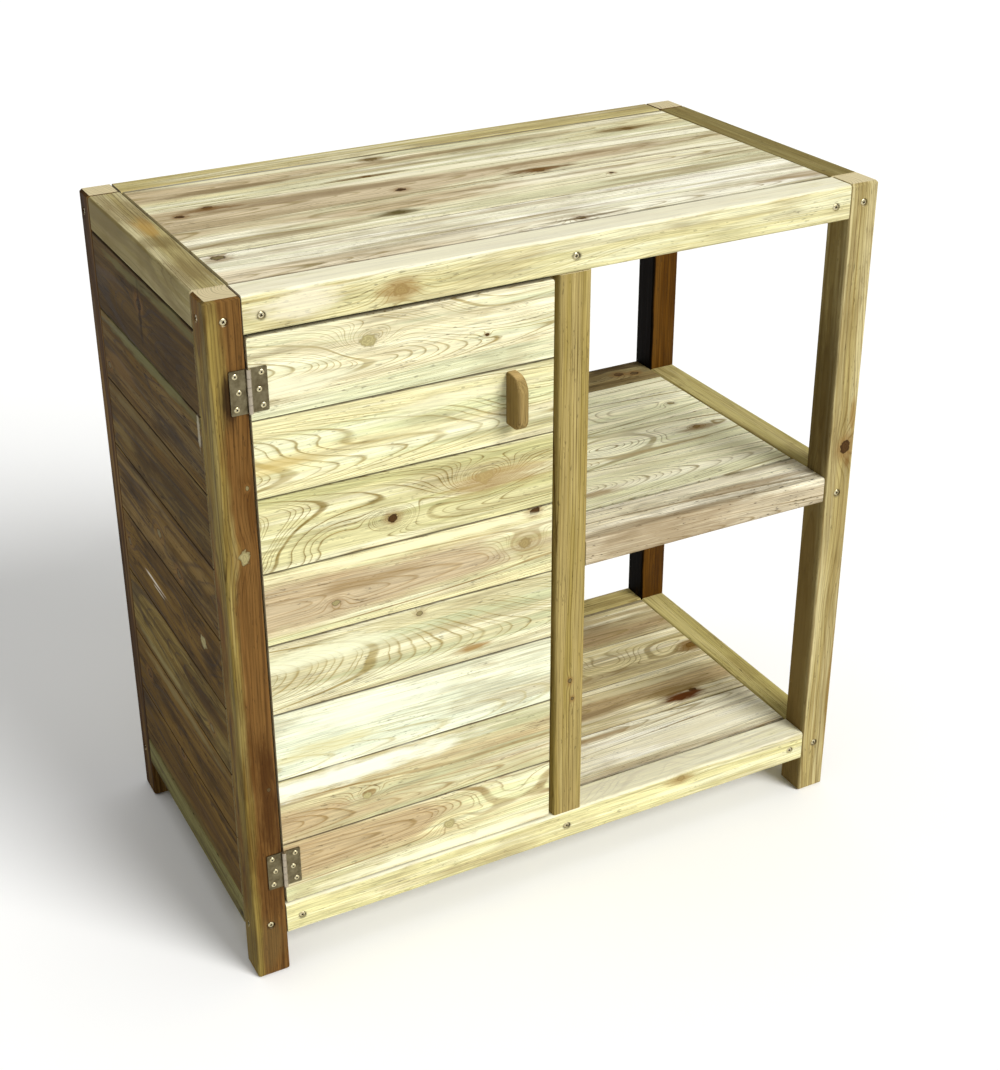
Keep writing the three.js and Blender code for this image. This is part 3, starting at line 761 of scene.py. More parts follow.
@dataclass
class Frame:
    """The posts and rails, which carry everything else."""

    shop: PineShop

    def dress(self) -> None:
        """Gives every post and rail its own wood."""
        self.dress_posts()
        self.dress_rails()

    def dress_posts(self) -> None:
        """Dresses the six posts: the left ones brown, the right and middle ones tan."""
        dress = self.shop.dress
        dress("post_front_left", Lie.POST,
              replace(BROWN, sap="#8f7c42", tint="#7e6b34", bleach="#958758", heart="#6c4d26",
                      pith_across=26.0, pith_under=26.0, heart_radius=50.0, heart_edge=8.0,
                      wander=7.0, taper=4.0, stain="#4a2c0c", stain_share=0.5, streak_share=0.25),
              Knot(147, 3, 6.5, 8, 0.6), Knot(-170, 10, 2.5, 3, 0.4), Knot(230, 12, 2.0, 3, 0.4),
              Patch(335, -2, 40, 13, "#1e1209", 0.85), Patch(-190, 8, 110, 14, "#3a2009", 0.75),
              Patch(-330, 6, 60, 16, "#43280f", 0.5), Patch(-400, -4, 46, 24, "#5f4e2e", 0.5))
        dress("post_front_right", Lie.POST,
              replace(TAN, sap="#afa171", tint="#a49460", bleach="#c6ba8c", heart="#8c7547",
                      late="#6c5628", pith_across=-46.0, pith_under=24.0, ring=4.2, wander=12.0,
                      heart_radius=34.0),
              Knot(93, 6, 6.5, 14, 0.0), Swell(-150, 4, 60, 16, 8),
              Patch(70, 12, 13, 6, "#6c4a1c", 0.7), Patch(134, 14, 26, 5, "#8a6a34", 0.6),
              # The three strips along the left face, which faces the open bay, are painted shade.
              Patch(-300, 18, 130, 5, "#75581f", 0.6), Patch(0, -21, 900, 3.2, "#64532c", 0.62),
              Patch(160, -21, 130, 3.4, "#453516", 0.5),
              Patch(-210, -21, 120, 3.4, "#857246", 0.35))
        dress("post_back_left", Lie.POST,
              replace(BROWN, pith_across=QUARTERED, sap="#4b3213", tint="#3b260c"))
        # The near-black heart, which fills its left part, and the near-black strip along its left
        # face are painted shade, not the wood's colour.
        dress("post_back_right", Lie.POST,
              replace(BROWN, sap="#59390c", tint="#4c2e06", bleach="#684718", late="#2c1804",
                      pith_across=-46.0, pith_under=21.0, taper=0.0, ring=4.0, wander=3.0,
                      heart_radius=29.0, heart_edge=3.0, heart="#0c0602"),
              Patch(0, -21, 900, 3.4, "#0c0602", 1.0))
        dress("post_front_middle", Lie.POST,
              replace(TAN, sap="#9d8b56", tint="#938146", bleach="#ac9b65", late="#56431a",
                      pith_across=QUARTERED, ring=3.4, wander=4.0, taper=6.0, late_share=0.85,
                      stain_share=0.1, streak_share=0.2),
              Knot(-172, 8, 2.5, 3, 0.2), Knot(-200, 12, 2.0, 2, 0.2))
        dress("post_back_middle", Lie.POST, replace(TAN, pith_across=-QUARTERED, ring=4.0))

    def dress_rails(self) -> None:
        """Dresses the eight rails: the front ones pale, the side ones tan."""
        dress = self.shop.dress
        dress("top_rail_front", Lie.RAIL_FRONT,
              replace(PALE, sap="#cfc898", tint="#c3bc8b", bleach="#e2e1c1", late="#8f7a3e",
                      pith_across=44.0, pith_under=50.0, ring=2.3, late_share=0.6),
              Knot(-211, -4, 6.5, 11, 0.8), Swell(120, 4, 90, 26, 10), Swell(-40, 2, 110, 24, 9),
              Patch(-211, -2, 36, 16, "#8d6a34", 0.6), Patch(-330, 4, 60, 20, "#efe9d2", 0.5),
              # The pale strip along the top edge is a painted highlight on the rounded edge and top
              # face.
              Patch(0, 22, 900, 3.4, "#efebd6", 0.6))
        dress("top_rail_back", Lie.RAIL_FRONT,
              replace(PALE, sap="#b9ad78", tint="#a99c66", pith_across=60.0))
        dress("top_rail_left", Lie.SIDE_FLAT,
              replace(TAN, sap="#b6ac83", tint="#a49867", bleach="#cbc297", heart="#8e7c55",
                      late="#5f4c26", pith_across=34.0, pith_under=14.0, ring=2.8, wander=9.0,
                      late_share=0.75),
              Patch(40, 4, 50, 15, "#a88440", 0.7), Patch(-130, 0, 60, 40, "#6e5c38", 0.5),
              Patch(110, 0, 70, 40, "#75633e", 0.5), Patch(-20, 0, 26, 30, "#6b5a33", 0.5),
              # The darker strip along the left face is painted shade.
              Patch(0, -21, 600, 3.4, "#83764a", 0.55))
        dress("top_rail_right", Lie.SIDE_FLAT,
              replace(TAN, sap="#8c8050", tint="#7d7042", bleach="#a09364", pith_across=QUARTERED,
                      ring=2.8, wander=6.0, late_share=0.8))
        dress("bottom_rail_front", Lie.RAIL_FRONT,
              replace(PALE, sap="#d9d29d", tint="#cdc792", bleach="#efecc9", late="#93803f",
                      pith_across=-64.0, ring=2.4, late_share=0.55),
              Swell(150, 10, 80, 24, 9), Swell(-240, -2, 90, 20, 7), Knot(188, 14, 4.0, 9, 0.7),
              # The last patch, a pale strip along the top edge, is a painted highlight on the
              # rounded edge.
              Patch(188, 12, 26, 10, "#93733c", 0.55), Patch(0, 22, 900, 3.4, "#f5f2e0", 0.5))
        dress("bottom_rail_back", Lie.RAIL_FRONT, replace(TAN, pith_across=-60.0))
        # The shaded copy of the pine darkens this rail partly as painted shade.
        dress("bottom_rail_left", Lie.SIDE_UPRIGHT,
              replace(SHADED, sap="#7f7a4a", tint="#726a3e", bleach="#94905e", pith_across=50.0,
                      ring=3.6, stain_share=0.3, streak_share=0.3))
        dress("bottom_rail_right", Lie.SIDE_FLAT,
              replace(TAN, sap="#bdb074", tint="#ada062", late="#71612c", pith_across=QUARTERED,
                      ring=2.8, wander=4.0, late_share=0.8))


@dataclass
class Worktop:
    """The four boards of the worktop and the bearers under their ends."""

    shop: PineShop
    pine: Pine = replace(
        PALE, sap="#e6e0bc", tint="#cfcca6", bleach="#f5f1d8", heart="#c0af8c", late="#8c7a4a",
        stain="#9c8b68", stain_share=0.35, streak_share=0.6, bleach_share=0.75, ring=2.1,
        fibre=0.34, wander=6.0, joint_soil_and_shade=0.6,
    )

    def dress(self) -> None:
        """Gives each board its own figure, from the front one to the back one."""
        pine = self.pine
        self.shop.dress_boards("worktop_board", Lie.BOARD_FLAT, (
            (replace(pine, sap="#f4f0d8", tint="#e2dfc0", bleach="#fdfbec", heart="#ded2b4",
                     pith_across=-34.0, pith_under=30.0, heart_radius=34.0),
             (Knot(-373, 36, 6.0, 12, 0.3), Knot(44, -38, 4.5, 7, 0.0),
              Swell(-230, 14, 150, 30, 20), Patch(360, -24, 100, 14, "#97805a", 0.7),
              Patch(40, -38, 70, 5, "#63502c", 0.8), Patch(-80, -30, 160, 9, "#efe8cb", 0.6))),
            (replace(pine, pith_across=22.0, pith_under=26.0, heart_radius=38.0),
             (Knot(-131, -8, 5, 10, 0.1), Knot(170, 6, 2.5, 4, 0.0), Swell(-330, 8, 110, 26, 18),
              Patch(-131, -8, 36, 15, "#5f5530", 0.8), Patch(120, 18, 200, 8, "#eee7c8", 0.7),
              Patch(-300, -20, 150, 10, "#8c7a58", 0.6),
              Patch(250, -24, 140, 9, "#8f7b52", 0.6))),
            (replace(pine, sap="#e2dcb8", heart="#c6b695", pith_across=-8.0, pith_under=26.0,
                     heart_radius=44.0),
             (Knot(-89, -22, 4.5, 6, 0.0), Knot(-322, 26, 4.5, 8, 0.0), Knot(-362, 8, 4, 5, 0.0),
              Knot(98, -32, 6, 9, 0.1), Patch(98, -30, 70, 10, "#6c4d24", 0.9),
              Patch(-322, 20, 60, 9, "#6f5026", 0.8), Patch(-180, 8, 180, 13, "#857150", 0.7),
              Patch(120, 2, 200, 9, "#8a7550", 0.7), Patch(-20, 30, 260, 6, "#ece5c6", 0.7),
              Patch(300, -36, 120, 7, "#ece5c6", 0.6))),
            (replace(pine, sap="#d8cfa2", pith_across=14.0, pith_under=26.0, heart_radius=34.0),
             (Knot(-66, 28, 6.0, 9, 0.05), Knot(-104, -42, 3.5, 5, 0.0),
              Knot(300, -10, 5.0, 8, 0.0), Patch(300, -10, 70, 9, "#6f592c", 0.8),
              Patch(-104, -42, 70, 7, "#684f26", 0.8), Patch(-66, 28, 34, 14, "#7c6a3e", 0.6),
              Patch(60, 10, 200, 10, "#84724d", 0.7), Patch(-270, -4, 110, 10, "#75623f", 0.7),
              Patch(-180, 38, 200, 6, "#ece5c6", 0.6))),
        ), last=Cut.TONGUED)
        self.shop.dress("worktop_bearer_right", Lie.SIDE_FLAT, HIDDEN)
        self.shop.dress("left_inner_frame", Lie.POST, HIDDEN)


@dataclass
class BottomShelf:
    """The four boards of the bottom shelf, which run on under the cupboard."""

    shop: PineShop
    pine: Pine = replace(
        PALE, sap="#dfd6a8", tint="#cbc194", bleach="#f5efd2", heart="#bfa97e", late="#8f7c4a",
        stain="#a08c68", stain_share=0.35, streak_share=0.5, bleach_share=0.7, ring=2.1,
        fibre=0.34, wander=6.0, joint_soil_and_shade=0.6,
    )

    def dress(self) -> None:
        """Gives each board its own figure, from the front one to the back one."""
        pine = self.pine
        self.shop.dress_boards("floor_board", Lie.BOARD_FLAT, (
            (replace(pine, sap="#f4f0d6", tint="#e6e0c0", bleach="#fdfbee", heart="#e4dab8",
                     pith_across=40.0, pith_under=24.0, heart_radius=28.0),
             (Patch(120, 34, 100, 9, "#9a7f55", 0.7), Patch(280, -10, 140, 22, "#ece6c8", 0.7))),
            (replace(pine, sap="#d3c79c", pith_across=6.0, pith_under=24.0, heart_radius=44.0),
             (Knot(290, -30, 5, 8, 0.0), Knot(318, -20, 4, 5, 0.0),
              Patch(296, -26, 44, 15, "#5d3312", 1.0), Patch(300, -10, 74, 14, "#7c6434", 0.7),
              Patch(120, -8, 120, 10, "#85704e", 0.6), Patch(200, 24, 200, 8, "#ddd4ac", 0.6))),
            (replace(pine, sap="#e0d4a5", tint="#c8bb8a", pith_across=0.0, pith_under=26.0,
                     heart_radius=20.0, heart="#b69e71"),
             (Knot(386, -10, 6, 9, 0.2), Swell(240, 6, 70, 26, 22),
              Patch(386, -14, 40, 16, "#74541f", 0.8), Patch(200, -24, 200, 12, "#877046", 0.6))),
            (replace(pine, sap="#c6ba92", pith_across=-20.0, pith_under=20.0, heart_radius=40.0,
                     heart="#a8926c"),
             (Patch(200, 10, 200, 12, "#7f6a4a", 0.6),)),
        ), last=Cut.TONGUED)
        for name in ("floor_bearer_left", "floor_bearer_right"):
            self.shop.dress(name, Lie.SIDE_FLAT, HIDDEN)


@dataclass
class MiddleShelf:
    """The shelf across the open bay: three rails, three boards and a ripped strip."""

    shop: PineShop
    pine: Pine = replace(
        PALE, sap="#f3efcf", tint="#e2e2bd", bleach="#fdfbe6", late="#86743c", late_share=0.75,
        ring=2.5, fibre=0.32, streak_share=0.15, stain_share=0.15, wander=6.0, pith_under=28.0,
        joint_soil_and_shade=0.6,
    )

    def dress(self) -> None:
        """Gives each rail and board its own figure."""
        dress, pine = self.shop.dress, self.pine
        dress("shelf_rail_front", Lie.BOARD_FLAT,
              replace(PALE, sap="#f2ecd6", tint="#e4dcc0", heart="#bdb094", late="#83714c",
                      pith_across=-40.0, pith_under=34.0, heart_radius=40.0, heart_edge=8.0,
                      stain="#857659", stain_share=0.5, streak_share=0.5, fleck_share=0.8,
                      ring=2.2, fibre=0.38, roughness=0.78),
              Patch(-60, -30, 140, 12, "#8c7858", 0.6), Patch(60, -4, 120, 9, "#a8926e", 0.5),
              Patch(10, 20, 150, 10, "#e8e1c4", 0.5))
        # The back rail takes the shaded copy of the pine: darker partly as painted shade.
        dress("shelf_rail_back", Lie.BOARD_FLAT,
              replace(SHADED, sap="#8d8058", tint="#7d6e4a", pith_across=30.0),
              Knot(130, 0, 5.0, 8, 0.0), Knot(153, -6, 4.5, 8, 0.1),
              Patch(80, 8, 90, 12, "#5f4c2c", 0.6))
        self.shop.dress_boards("shelf_board", Lie.BOARD_FLAT, (
            (replace(pine, pith_across=-10.0, taper=80.0),
             (Swell(-140, 8, 120, 30, -26), Patch(-100, -14, 60, 9, "#8a6a30", 0.7),
              Patch(60, 26, 140, 7, "#dcd7b0", 0.6))),
            (replace(pine, pith_across=4.0, taper=90.0),
             (Swell(-30, 4, 100, 28, 36), Knot(128, 4, 4, 9, 0.3),
              Patch(130, 0, 50, 11, "#84683a", 0.75), Patch(40, -30, 120, 6, "#a08450", 0.5))),
            (replace(pine, pith_across=-4.0, taper=90.0),
             (Swell(-120, -2, 130, 30, 44), Knot(140, -6, 3.5, 7, 0.6))),
            (replace(pine, pith_across=40.0), ()),
        ))
        dress("shelf_rail_right", Lie.SIDE_FLAT,
              replace(TAN, sap="#b8ac72", tint="#a99c60", late="#6f5f2c", pith_across=QUARTERED,
                      ring=2.8, wander=4.0, late_share=0.8))


@dataclass
class SidePanel:
    """The boarded left side, with some green algae, darker than the rest: partly weathered, partly
    painted shade.
    """

    shop: PineShop
    green: str = "#76754a"

    def dress(self) -> None:
        """Gives each board its own figure, from the bottom one to the top one."""
        green = self.green
        self.shop.dress_boards("side_board", Lie.SIDE_UPRIGHT, (
            (replace(SHADED, pith_across=30.0),
             (Knot(16, 40, 5, 8, 0.1), Patch(-60, -10, 150, 18, "#45331f", 0.6),
              Patch(0, -40, 220, 10, "#6b6038", 0.4))),
            (replace(SHADED, pith_across=-20.0),
             (Knot(144, 0, 5, 8, 0.1), Patch(0, 34, 200, 9, "#8a7c50", 0.6),
              Patch(60, -8, 100, 16, "#2f2114", 0.5))),
            (replace(SHADED, sap="#826e39", pith_across=12.0),
             (Knot(-128, -18, 5.5, 9, 0.3), Patch(-100, 10, 90, 14, "#3a2a18", 0.6),
              Patch(60, -34, 130, 8, "#94895a", 0.6))),
            (replace(SHADED, pith_across=-14.0),
             (Knot(-126, 10, 8, 16, 0.75), Knot(172, 4, 5, 8, 0.2), Swell(-110, 6, 50, 26, 16),
              Patch(70, -6, 44, 2.6, "#d9d2c0", 0.95), Patch(52, -12, 26, 1.6, "#cfc7b2", 0.8),
              Patch(-140, -10, 40, 20, "#2b1d10", 0.7))),
            (replace(SHADED, sap="#7b6337", pith_across=8.0),
             (Knot(22, -8, 6.0, 12, 0.35), Knot(-49, -30, 5.5, 9, 0.15),
              Patch(120, 10, 80, 20, "#33230f", 0.6), Patch(60, 36, 90, 7, "#7c6a40", 0.5))),
            (replace(SHADED, sap="#68552e", pith_across=-30.0),
             (Patch(60, 34, 150, 8, "#7a6c44", 0.4), Patch(-60, -6, 120, 18, "#33230f", 0.6),
              Patch(140, -16, 60, 12, "#86703e", 0.5))),
            (replace(SHADED, sap="#6b5834", pith_across=16.0),
             (Knot(173, -24, 4.5, 8, 0.2), Patch(0, 40, 240, 11, green, 0.65),
              Patch(-182, 28, 5, 26, "#b3aa92", 0.8), Patch(120, -10, 70, 16, "#7c5f34", 0.5),
              Patch(-90, -20, 90, 16, "#33251a", 0.6))),
            (replace(SHADED, sap="#5c4722", tint="#4a3717", bleach="#6d5730", pith_across=-12.0),
             (Knot(10, 14, 6, 14, 0.1), Patch(-120, 42, 130, 9, green, 0.5),
              Patch(60, 38, 110, 8, green, 0.45), Patch(8, 2, 7, 44, "#241810", 0.75),
              Patch(-90, 0, 90, 24, "#3d2f20", 0.5), Patch(130, 10, 90, 14, "#5f4b30", 0.5))),
        ))


@dataclass
class InnerWalls:
    """The divider beside the open bay and the cupboard's back."""

    shop: PineShop
    wall: Pine = replace(TAN, ring=6.0, wander=26.0, pith_under=90.0, joint_soil_and_shade=0.0)

    def dress(self) -> None:
        """Gives both walls a plain tan wood."""
        self.shop.dress("divider_panel", Lie.SIDE_UPRIGHT, self.wall)
        self.shop.dress("back_panel", Lie.RAIL_FRONT, self.wall)


@dataclass
class Door:
    """The boarded door, its ledges behind and its handle."""

    shop: PineShop
    pale: Pine = replace(PALE, wander=5.0, pith_under=24.0, ring=1.9)

    def dress(self) -> None:
        """Gives each board its own figure, from the bottom one to the top one."""
        pale = self.pale
        pink = replace(pale, heart="#b39f79", late="#8a7040", stain="#a08660")
        self.shop.dress_boards("door_board", Lie.RAIL_FRONT, (
            (replace(pink, pith_across=18.0, heart_radius=40.0),
             (Knot(40, -4, 6, 14, 0.85), Knot(74, -34, 2.5, 4, 0.4), Swell(130, 20, 90, 24, 16),
              Patch(60, -36, 240, 9, "#ece9c8", 0.8))),
            (replace(pink, sap="#c4bb91", tint="#b8b78e", bleach="#d5cfb4", pith_across=-22.0,
                     heart_radius=34.0),
             (Knot(-72, -12, 4.5, 10, 0.9), Swell(30, -12, 170, 18, 9),
              Patch(-100, 30, 200, 16, "#edf0dc", 0.8))),
            (replace(pale, sap="#dddec0", tint="#d0d5ba", pith_across=-30.0, pith_under=50.0,
                     late_share=0.5, late="#a89a62"),
             (Patch(-60, 20, 120, 22, "#e9ecd4", 0.6), Patch(-120, -16, 80, 14, "#c9bd80", 0.5))),
            (replace(pale, sap="#c5be95", tint="#b9ba91", pith_across=0.0, ring=1.6, taper=70.0,
                     wander=2.5, late="#8c783c"),
             (Knot(6, 38, 3.0, 6, 0.5), Swell(190, 6, 230, 30, 20), Swell(-90, -6, 150, 22, 8),
              Patch(74, -30, 34, 7, "#8f6a2c", 0.85), Patch(-120, 20, 130, 18, "#e9e9c8", 0.6))),
            (replace(pink, heart="#b6a584", pith_across=0.0, heart_radius=40.0, wander=6.0,
                     taper=30.0),
             (Knot(148, 2, 6, 15, 0.75), Knot(161, 42, 4.5, 7, 0.0), Knot(-100, -12, 3.5, 8, 0.6),
              Patch(0, 38, 240, 7, "#e6dfb6", 0.8), Patch(148, 4, 44, 22, "#8c6f3e", 0.45),
              Patch(-60, 6, 110, 8, "#8d7449", 0.55))),
            (replace(pale, sap="#c9c392", tint="#bab681", pith_across=-6.0, ring=1.2, taper=60.0,
                     wander=2.0, late_share=0.85, late="#7b6730"),
             (Knot(-25, -14, 4.5, 20, 0.0), Knot(95, 10, 8, 16, 0.9),
              Swell(-120, -10, 170, 40, 36), Swell(110, 8, 120, 28, 16),
              Patch(110, 4, 90, 20, "#9c7c48", 0.55))),
            (replace(pale, pith_across=-8.0, ring=1.5, taper=50.0, wander=2.0, late="#8a763a"),
             (Swell(-110, -4, 230, 26, 18), Swell(160, 0, 90, 26, 10),
              Patch(-160, -10, 60, 10, "#c2ab68", 0.6), Patch(60, 24, 120, 10, "#ece8c4", 0.5))),
            (replace(pale, sap="#dad3ae", tint="#cdcea8", pith_across=8.0, ring=1.4, taper=60.0,
                     late="#8a763a"),
             (Knot(-46, 18, 7, 16, 0.85), Knot(99, -3, 1.5, 2, 0.0), Swell(110, 24, 120, 28, 20),
              Swell(-60, 22, 120, 20, 8), Patch(-150, -16, 90, 14, "#e9e6c6", 0.6))),
        ))
        for name in ("door_ledge_lower", "door_ledge_upper"):
            self.shop.dress(name, Lie.RAIL_FRONT, replace(TAN, pith_across=60.0))
        handle = replace(
            TAN, sap="#8c7748", tint="#7d673b", bleach="#a28d5d", late="#553e1c",
            pith_across=30.0, ring=1.8, wander=4.0, late_share=0.75, joint_soil_and_shade=0.0, fibre=0.4,
            end="#b59a66",
        )
        # The darker strip down the handle's left side is painted shade.
        self.shop.dress("door_handle", Lie.POST, handle, Patch(0, -7, 90, 2.6, "#745a34", 0.3))


@dataclass(frozen=True)
class PlatedSteel:
    """Pressed mild steel with a thin yellow passivated zinc plating, dulled outdoors.

    It shows a soft grey-olive sheen, faint mottling a few millimetres across and fine scratches.
    Where a barrel's place is given, the barrel is painted brighter: partly plating rubbed through
    to bright steel, partly a painted highlight.  A recessed piece is painted dark where its mesh
    says that it is deep: painted shade in the recess.
    """

    name: str = "yellow-plated pressed steel"
    colour: str = "#7d745a"
    shadow: str = "#5c523b"
    rubbed_and_highlight: str = "#b5aa98"
    recess_shade: str = "#1c160e"
    roughness: float = 0.40
    mottle_mm: float = 9.0
    barrel_mm: float = 2.9
    scratch_fine: Triple = (4000.0, 4000.0, 260.0)
    recessed: bool = False

    def material(self, barrel_x: float | None = None) -> bpy.types.Material:
        """Makes the plating.

        Args:
            barrel_x: where a hinge's barrel stands, in metres, if the piece has one.

        Returns:
            The material.
        """
        material = new_material(self.name)
        add = partial(add_node, material.node_tree)
        where = add("TexCoord", out="Object")
        blotch = add("TexNoise", where, None, 1 / (self.mottle_mm * MM), 5.0, 0.65)
        share = add("MapRange", blotch, 0.35, 0.65)
        colour = add("Mix", share, *SKIP, linear(self.colour), linear(self.shadow), **MIXED)
        # The barrel is painted brighter: partly plating rubbed through, partly a painted highlight.
        if barrel_x is not None:
            off = add("Math SUBTRACT", add("SeparateXYZ", where), barrel_x)
            far = add("Math ABSOLUTE", off)
            edge = self.barrel_mm * MM
            worn_and_highlit = add("MapRange", far, 1.02 * edge, 0.8 * edge, 0.0, 0.9)
            colour = add("Mix", worn_and_highlit, *SKIP, colour, linear(self.rubbed_and_highlight), **MIXED)
        # Faces deep in a recess are painted dark: painted shade.
        if self.recessed:
            deep = add("Attribute", out="Fac", attribute_type="GEOMETRY", attribute_name="recess")
            colour = add("Mix", deep, *SKIP, colour, linear(self.recess_shade), **MIXED)
        stretch = add("VectorMath MULTIPLY", where, self.scratch_fine)
        scratch = add("TexNoise", stretch, None, 1.0, 2.0, 0.5)
        rough = add("MapRange", blotch, 0.3, 0.7, self.roughness - 0.08, self.roughness + 0.14)
        close_material(material.node_tree, {
            "Base Color": colour, "Roughness": rough, "Metallic": 1.0,
            "Normal": add("Bump", 0.15, 0.05 * MM, None, scratch),
        })
        return material


@dataclass
class Hinges:
    """Two butt hinges on the front faces of the post and the door."""

    leaf: PlatedSteel = PlatedSteel()
    pin: PlatedSteel = PlatedSteel("bright drawn steel", "#b4b1a6", "#8d8a80", roughness=0.32)

    def dress(self) -> None:
        """Plates the leaves and brightens the pins."""
        plate, bright = self.leaf.material(PIN_X), self.pin.material()
        for level in ("lower", "upper"):
            for owner in ("post", "door"):
                paint(frame["nodes"][f"hinge_{level}_{owner}_leaf"], plate)
            paint(frame["nodes"][f"hinge_{level}_pin"], bright)
            LOG.info("%s hinge plated", level)


@dataclass
class Screws:
    """Cross-recess wood screws in the frame's joints and in the hinge leaves.

    The sizes from profile to smooth_deg are those of a pattern head one metre across: the radius
    and height of its dome from the rim inwards, one arm of its cross, and what counts as deep.
    """

    frame_head: float = 8.4 * MM
    hollow: float = 1.5 * MM
    below_top: float = 25.0 * MM
    above_bottom: float = 21.0 * MM
    below_shelf: float = 26.0 * MM
    side_drop: float = 9.0 * MM
    from_front: float = 27.0 * MM
    from_back: float = 15.0 * MM
    leaf_head: float = 6.4 * MM
    leaf_thickness: float = 1.5 * MM
    hole_outer: float = 15.0 * MM
    hole_inner: float = 11.5 * MM
    hole_spread: float = 19.0 * MM
    profile: tuple[tuple[float, float], ...] = (
        (0.5, -0.10), (0.5, 0.0), (0.47, 0.035), (0.36, 0.075), (0.20, 0.10)
    )
    dome: float = 0.11
    turns: int = 28
    arm: Triple = (0.60, 0.17, 0.30)
    arm_height: float = 0.12
    arm_taper: float = 0.45
    deep_within: float = 0.42
    deep_from: float = -0.09
    deep_under: float = 0.02
    dome_fall: float = 0.30
    smooth_deg: float = 35.0
    turn_seed: int = 11
    steel: PlatedSteel = PlatedSteel(
        "yellow-passivated screw steel", "#dcd4b4", "#b3a478", roughness=0.30, mottle_mm=2.0,
        recessed=True,
    )

    def head_mesh(self) -> bpy.types.Object:
        """Makes one screw head a metre across: a low dome with a rim and a cross recess.

        Returns:
            The head, facing +Z with its rim on the plane z = 0.
        """
        mesh = bpy.data.meshes.new("screw head")
        shape = bmesh.new()
        angles = [2 * math.pi * k / self.turns for k in range(self.turns)]
        rings = [
            [shape.verts.new((radius * math.cos(a), radius * math.sin(a), height)) for a in angles]
            for radius, height in self.profile
        ]
        top = shape.verts.new((0.0, 0.0, self.dome))
        pairs = [(k, (k + 1) % self.turns) for k in range(self.turns)]
        for low, high in zip(rings, rings[1:]):
            for k, after in pairs:
                shape.faces.new((low[k], low[after], high[after], high[k]))
        for k, after in pairs:
            shape.faces.new((rings[-1][k], rings[-1][after], top))
        shape.faces.new(list(reversed(rings[0])))
        shape.to_mesh(mesh)
        shape.free()
        head = new_object("screw_head_pattern", mesh)

        cutters = []
        for quarter in (0.0, math.pi / 2):
            slot = bpy.data.meshes.new("recess arm")
            arm = bmesh.new()
            bmesh.ops.create_cube(arm, size=1.0)
            bmesh.ops.scale(arm, vec=self.arm, verts=arm.verts)
            bmesh.ops.translate(arm, vec=(0.0, 0.0, self.arm_height), verts=arm.verts)
            for corner in arm.verts:
                if corner.co.z < 0:
                    corner.co.x *= self.arm_taper
            turn = Matrix.Rotation(quarter, 3, "Z")
            bmesh.ops.rotate(arm, cent=(0, 0, 0), matrix=turn, verts=arm.verts)
            arm.to_mesh(slot)
            arm.free()
            cutters.append(new_object("recess_cutter", slot))
            cut = head.modifiers.new("recess", "BOOLEAN")
            cut.operation, cut.object, cut.solver = "DIFFERENCE", cutters[-1], "EXACT"
        mesh = plain_mesh(head)
        for cutter in cutters:
            bpy.data.objects.remove(cutter)
        self.mark_recess(mesh)
        mesh.set_sharp_from_angle(angle=math.radians(self.smooth_deg))
        head.hide_render = True
        return head

    def mark_recess(self, mesh: bpy.types.Mesh) -> None:
        """Smooths a head and marks the faces deep in its cross, which the steel paints dark as
        painted shade.

        Args:
            mesh: the head's mesh.
        """
        mesh.attributes.new("recess", "FLOAT", "FACE")
        deep = mesh.attributes["recess"].data
        for face in mesh.polygons:
            face.use_smooth = True
            off_axis = math.hypot(face.center.x, face.center.y)
            under = self.dome - self.dome_fall * off_axis**2 - self.deep_under
            inside = off_axis < self.deep_within and self.deep_from < face.center.z < under
            deep[face.index].value = float(inside)

    def spreader(self) -> Tree:
        """Builds the Geometry Nodes tree that puts a head on every seat.

        Returns:
            The tree, whose inputs are the head, the seed of its turns and the steel.
        """
        tree, given = new_group(
            "screw heads on seats",
            {"Geometry": "Geometry", "Head": "Object", "Turn seed": "Int", "Steel": "Material"},
            {"Geometry": "Geometry"}, "GeometryNodeTree",
        )
        add = partial(add_node, tree)
        points = add("GeometryNodeMeshToPoints", given["Geometry"])
        pattern = add("GeometryNodeObjectInfo", given["Head"], out="Geometry")
        outward = add("GeometryNodeInputNamedAttribute", "outward", data_type="FLOAT_VECTOR")
        size = add("GeometryNodeInputNamedAttribute", "diameter", data_type="FLOAT")
        facing = add("FunctionNodeAlignRotationToVector", None, 1.0, outward, axis="Z")
        spin = add(
            "FunctionNodeRandomValue", None, None, 0.0, math.pi / 2,
            named={"Seed": given["Turn seed"]}, out=1, data_type="FLOAT",
        )
        about = add("CombineXYZ", 0.0, 0.0, spin)
        turned = add("FunctionNodeRotateRotation", facing, about, rotation_space="LOCAL")
        placed = add(
            "GeometryNodeInstanceOnPoints", out="Instances",
            named={"Points": points, "Instance": pattern, "Rotation": turned, "Scale": size},
        )
        real = add("GeometryNodeRealizeInstances", placed)
        add("NodeGroupOutput", add(
            "GeometryNodeSetMaterial", named={"Geometry": real, "Material": given["Steel"]}
        ))
        return tree

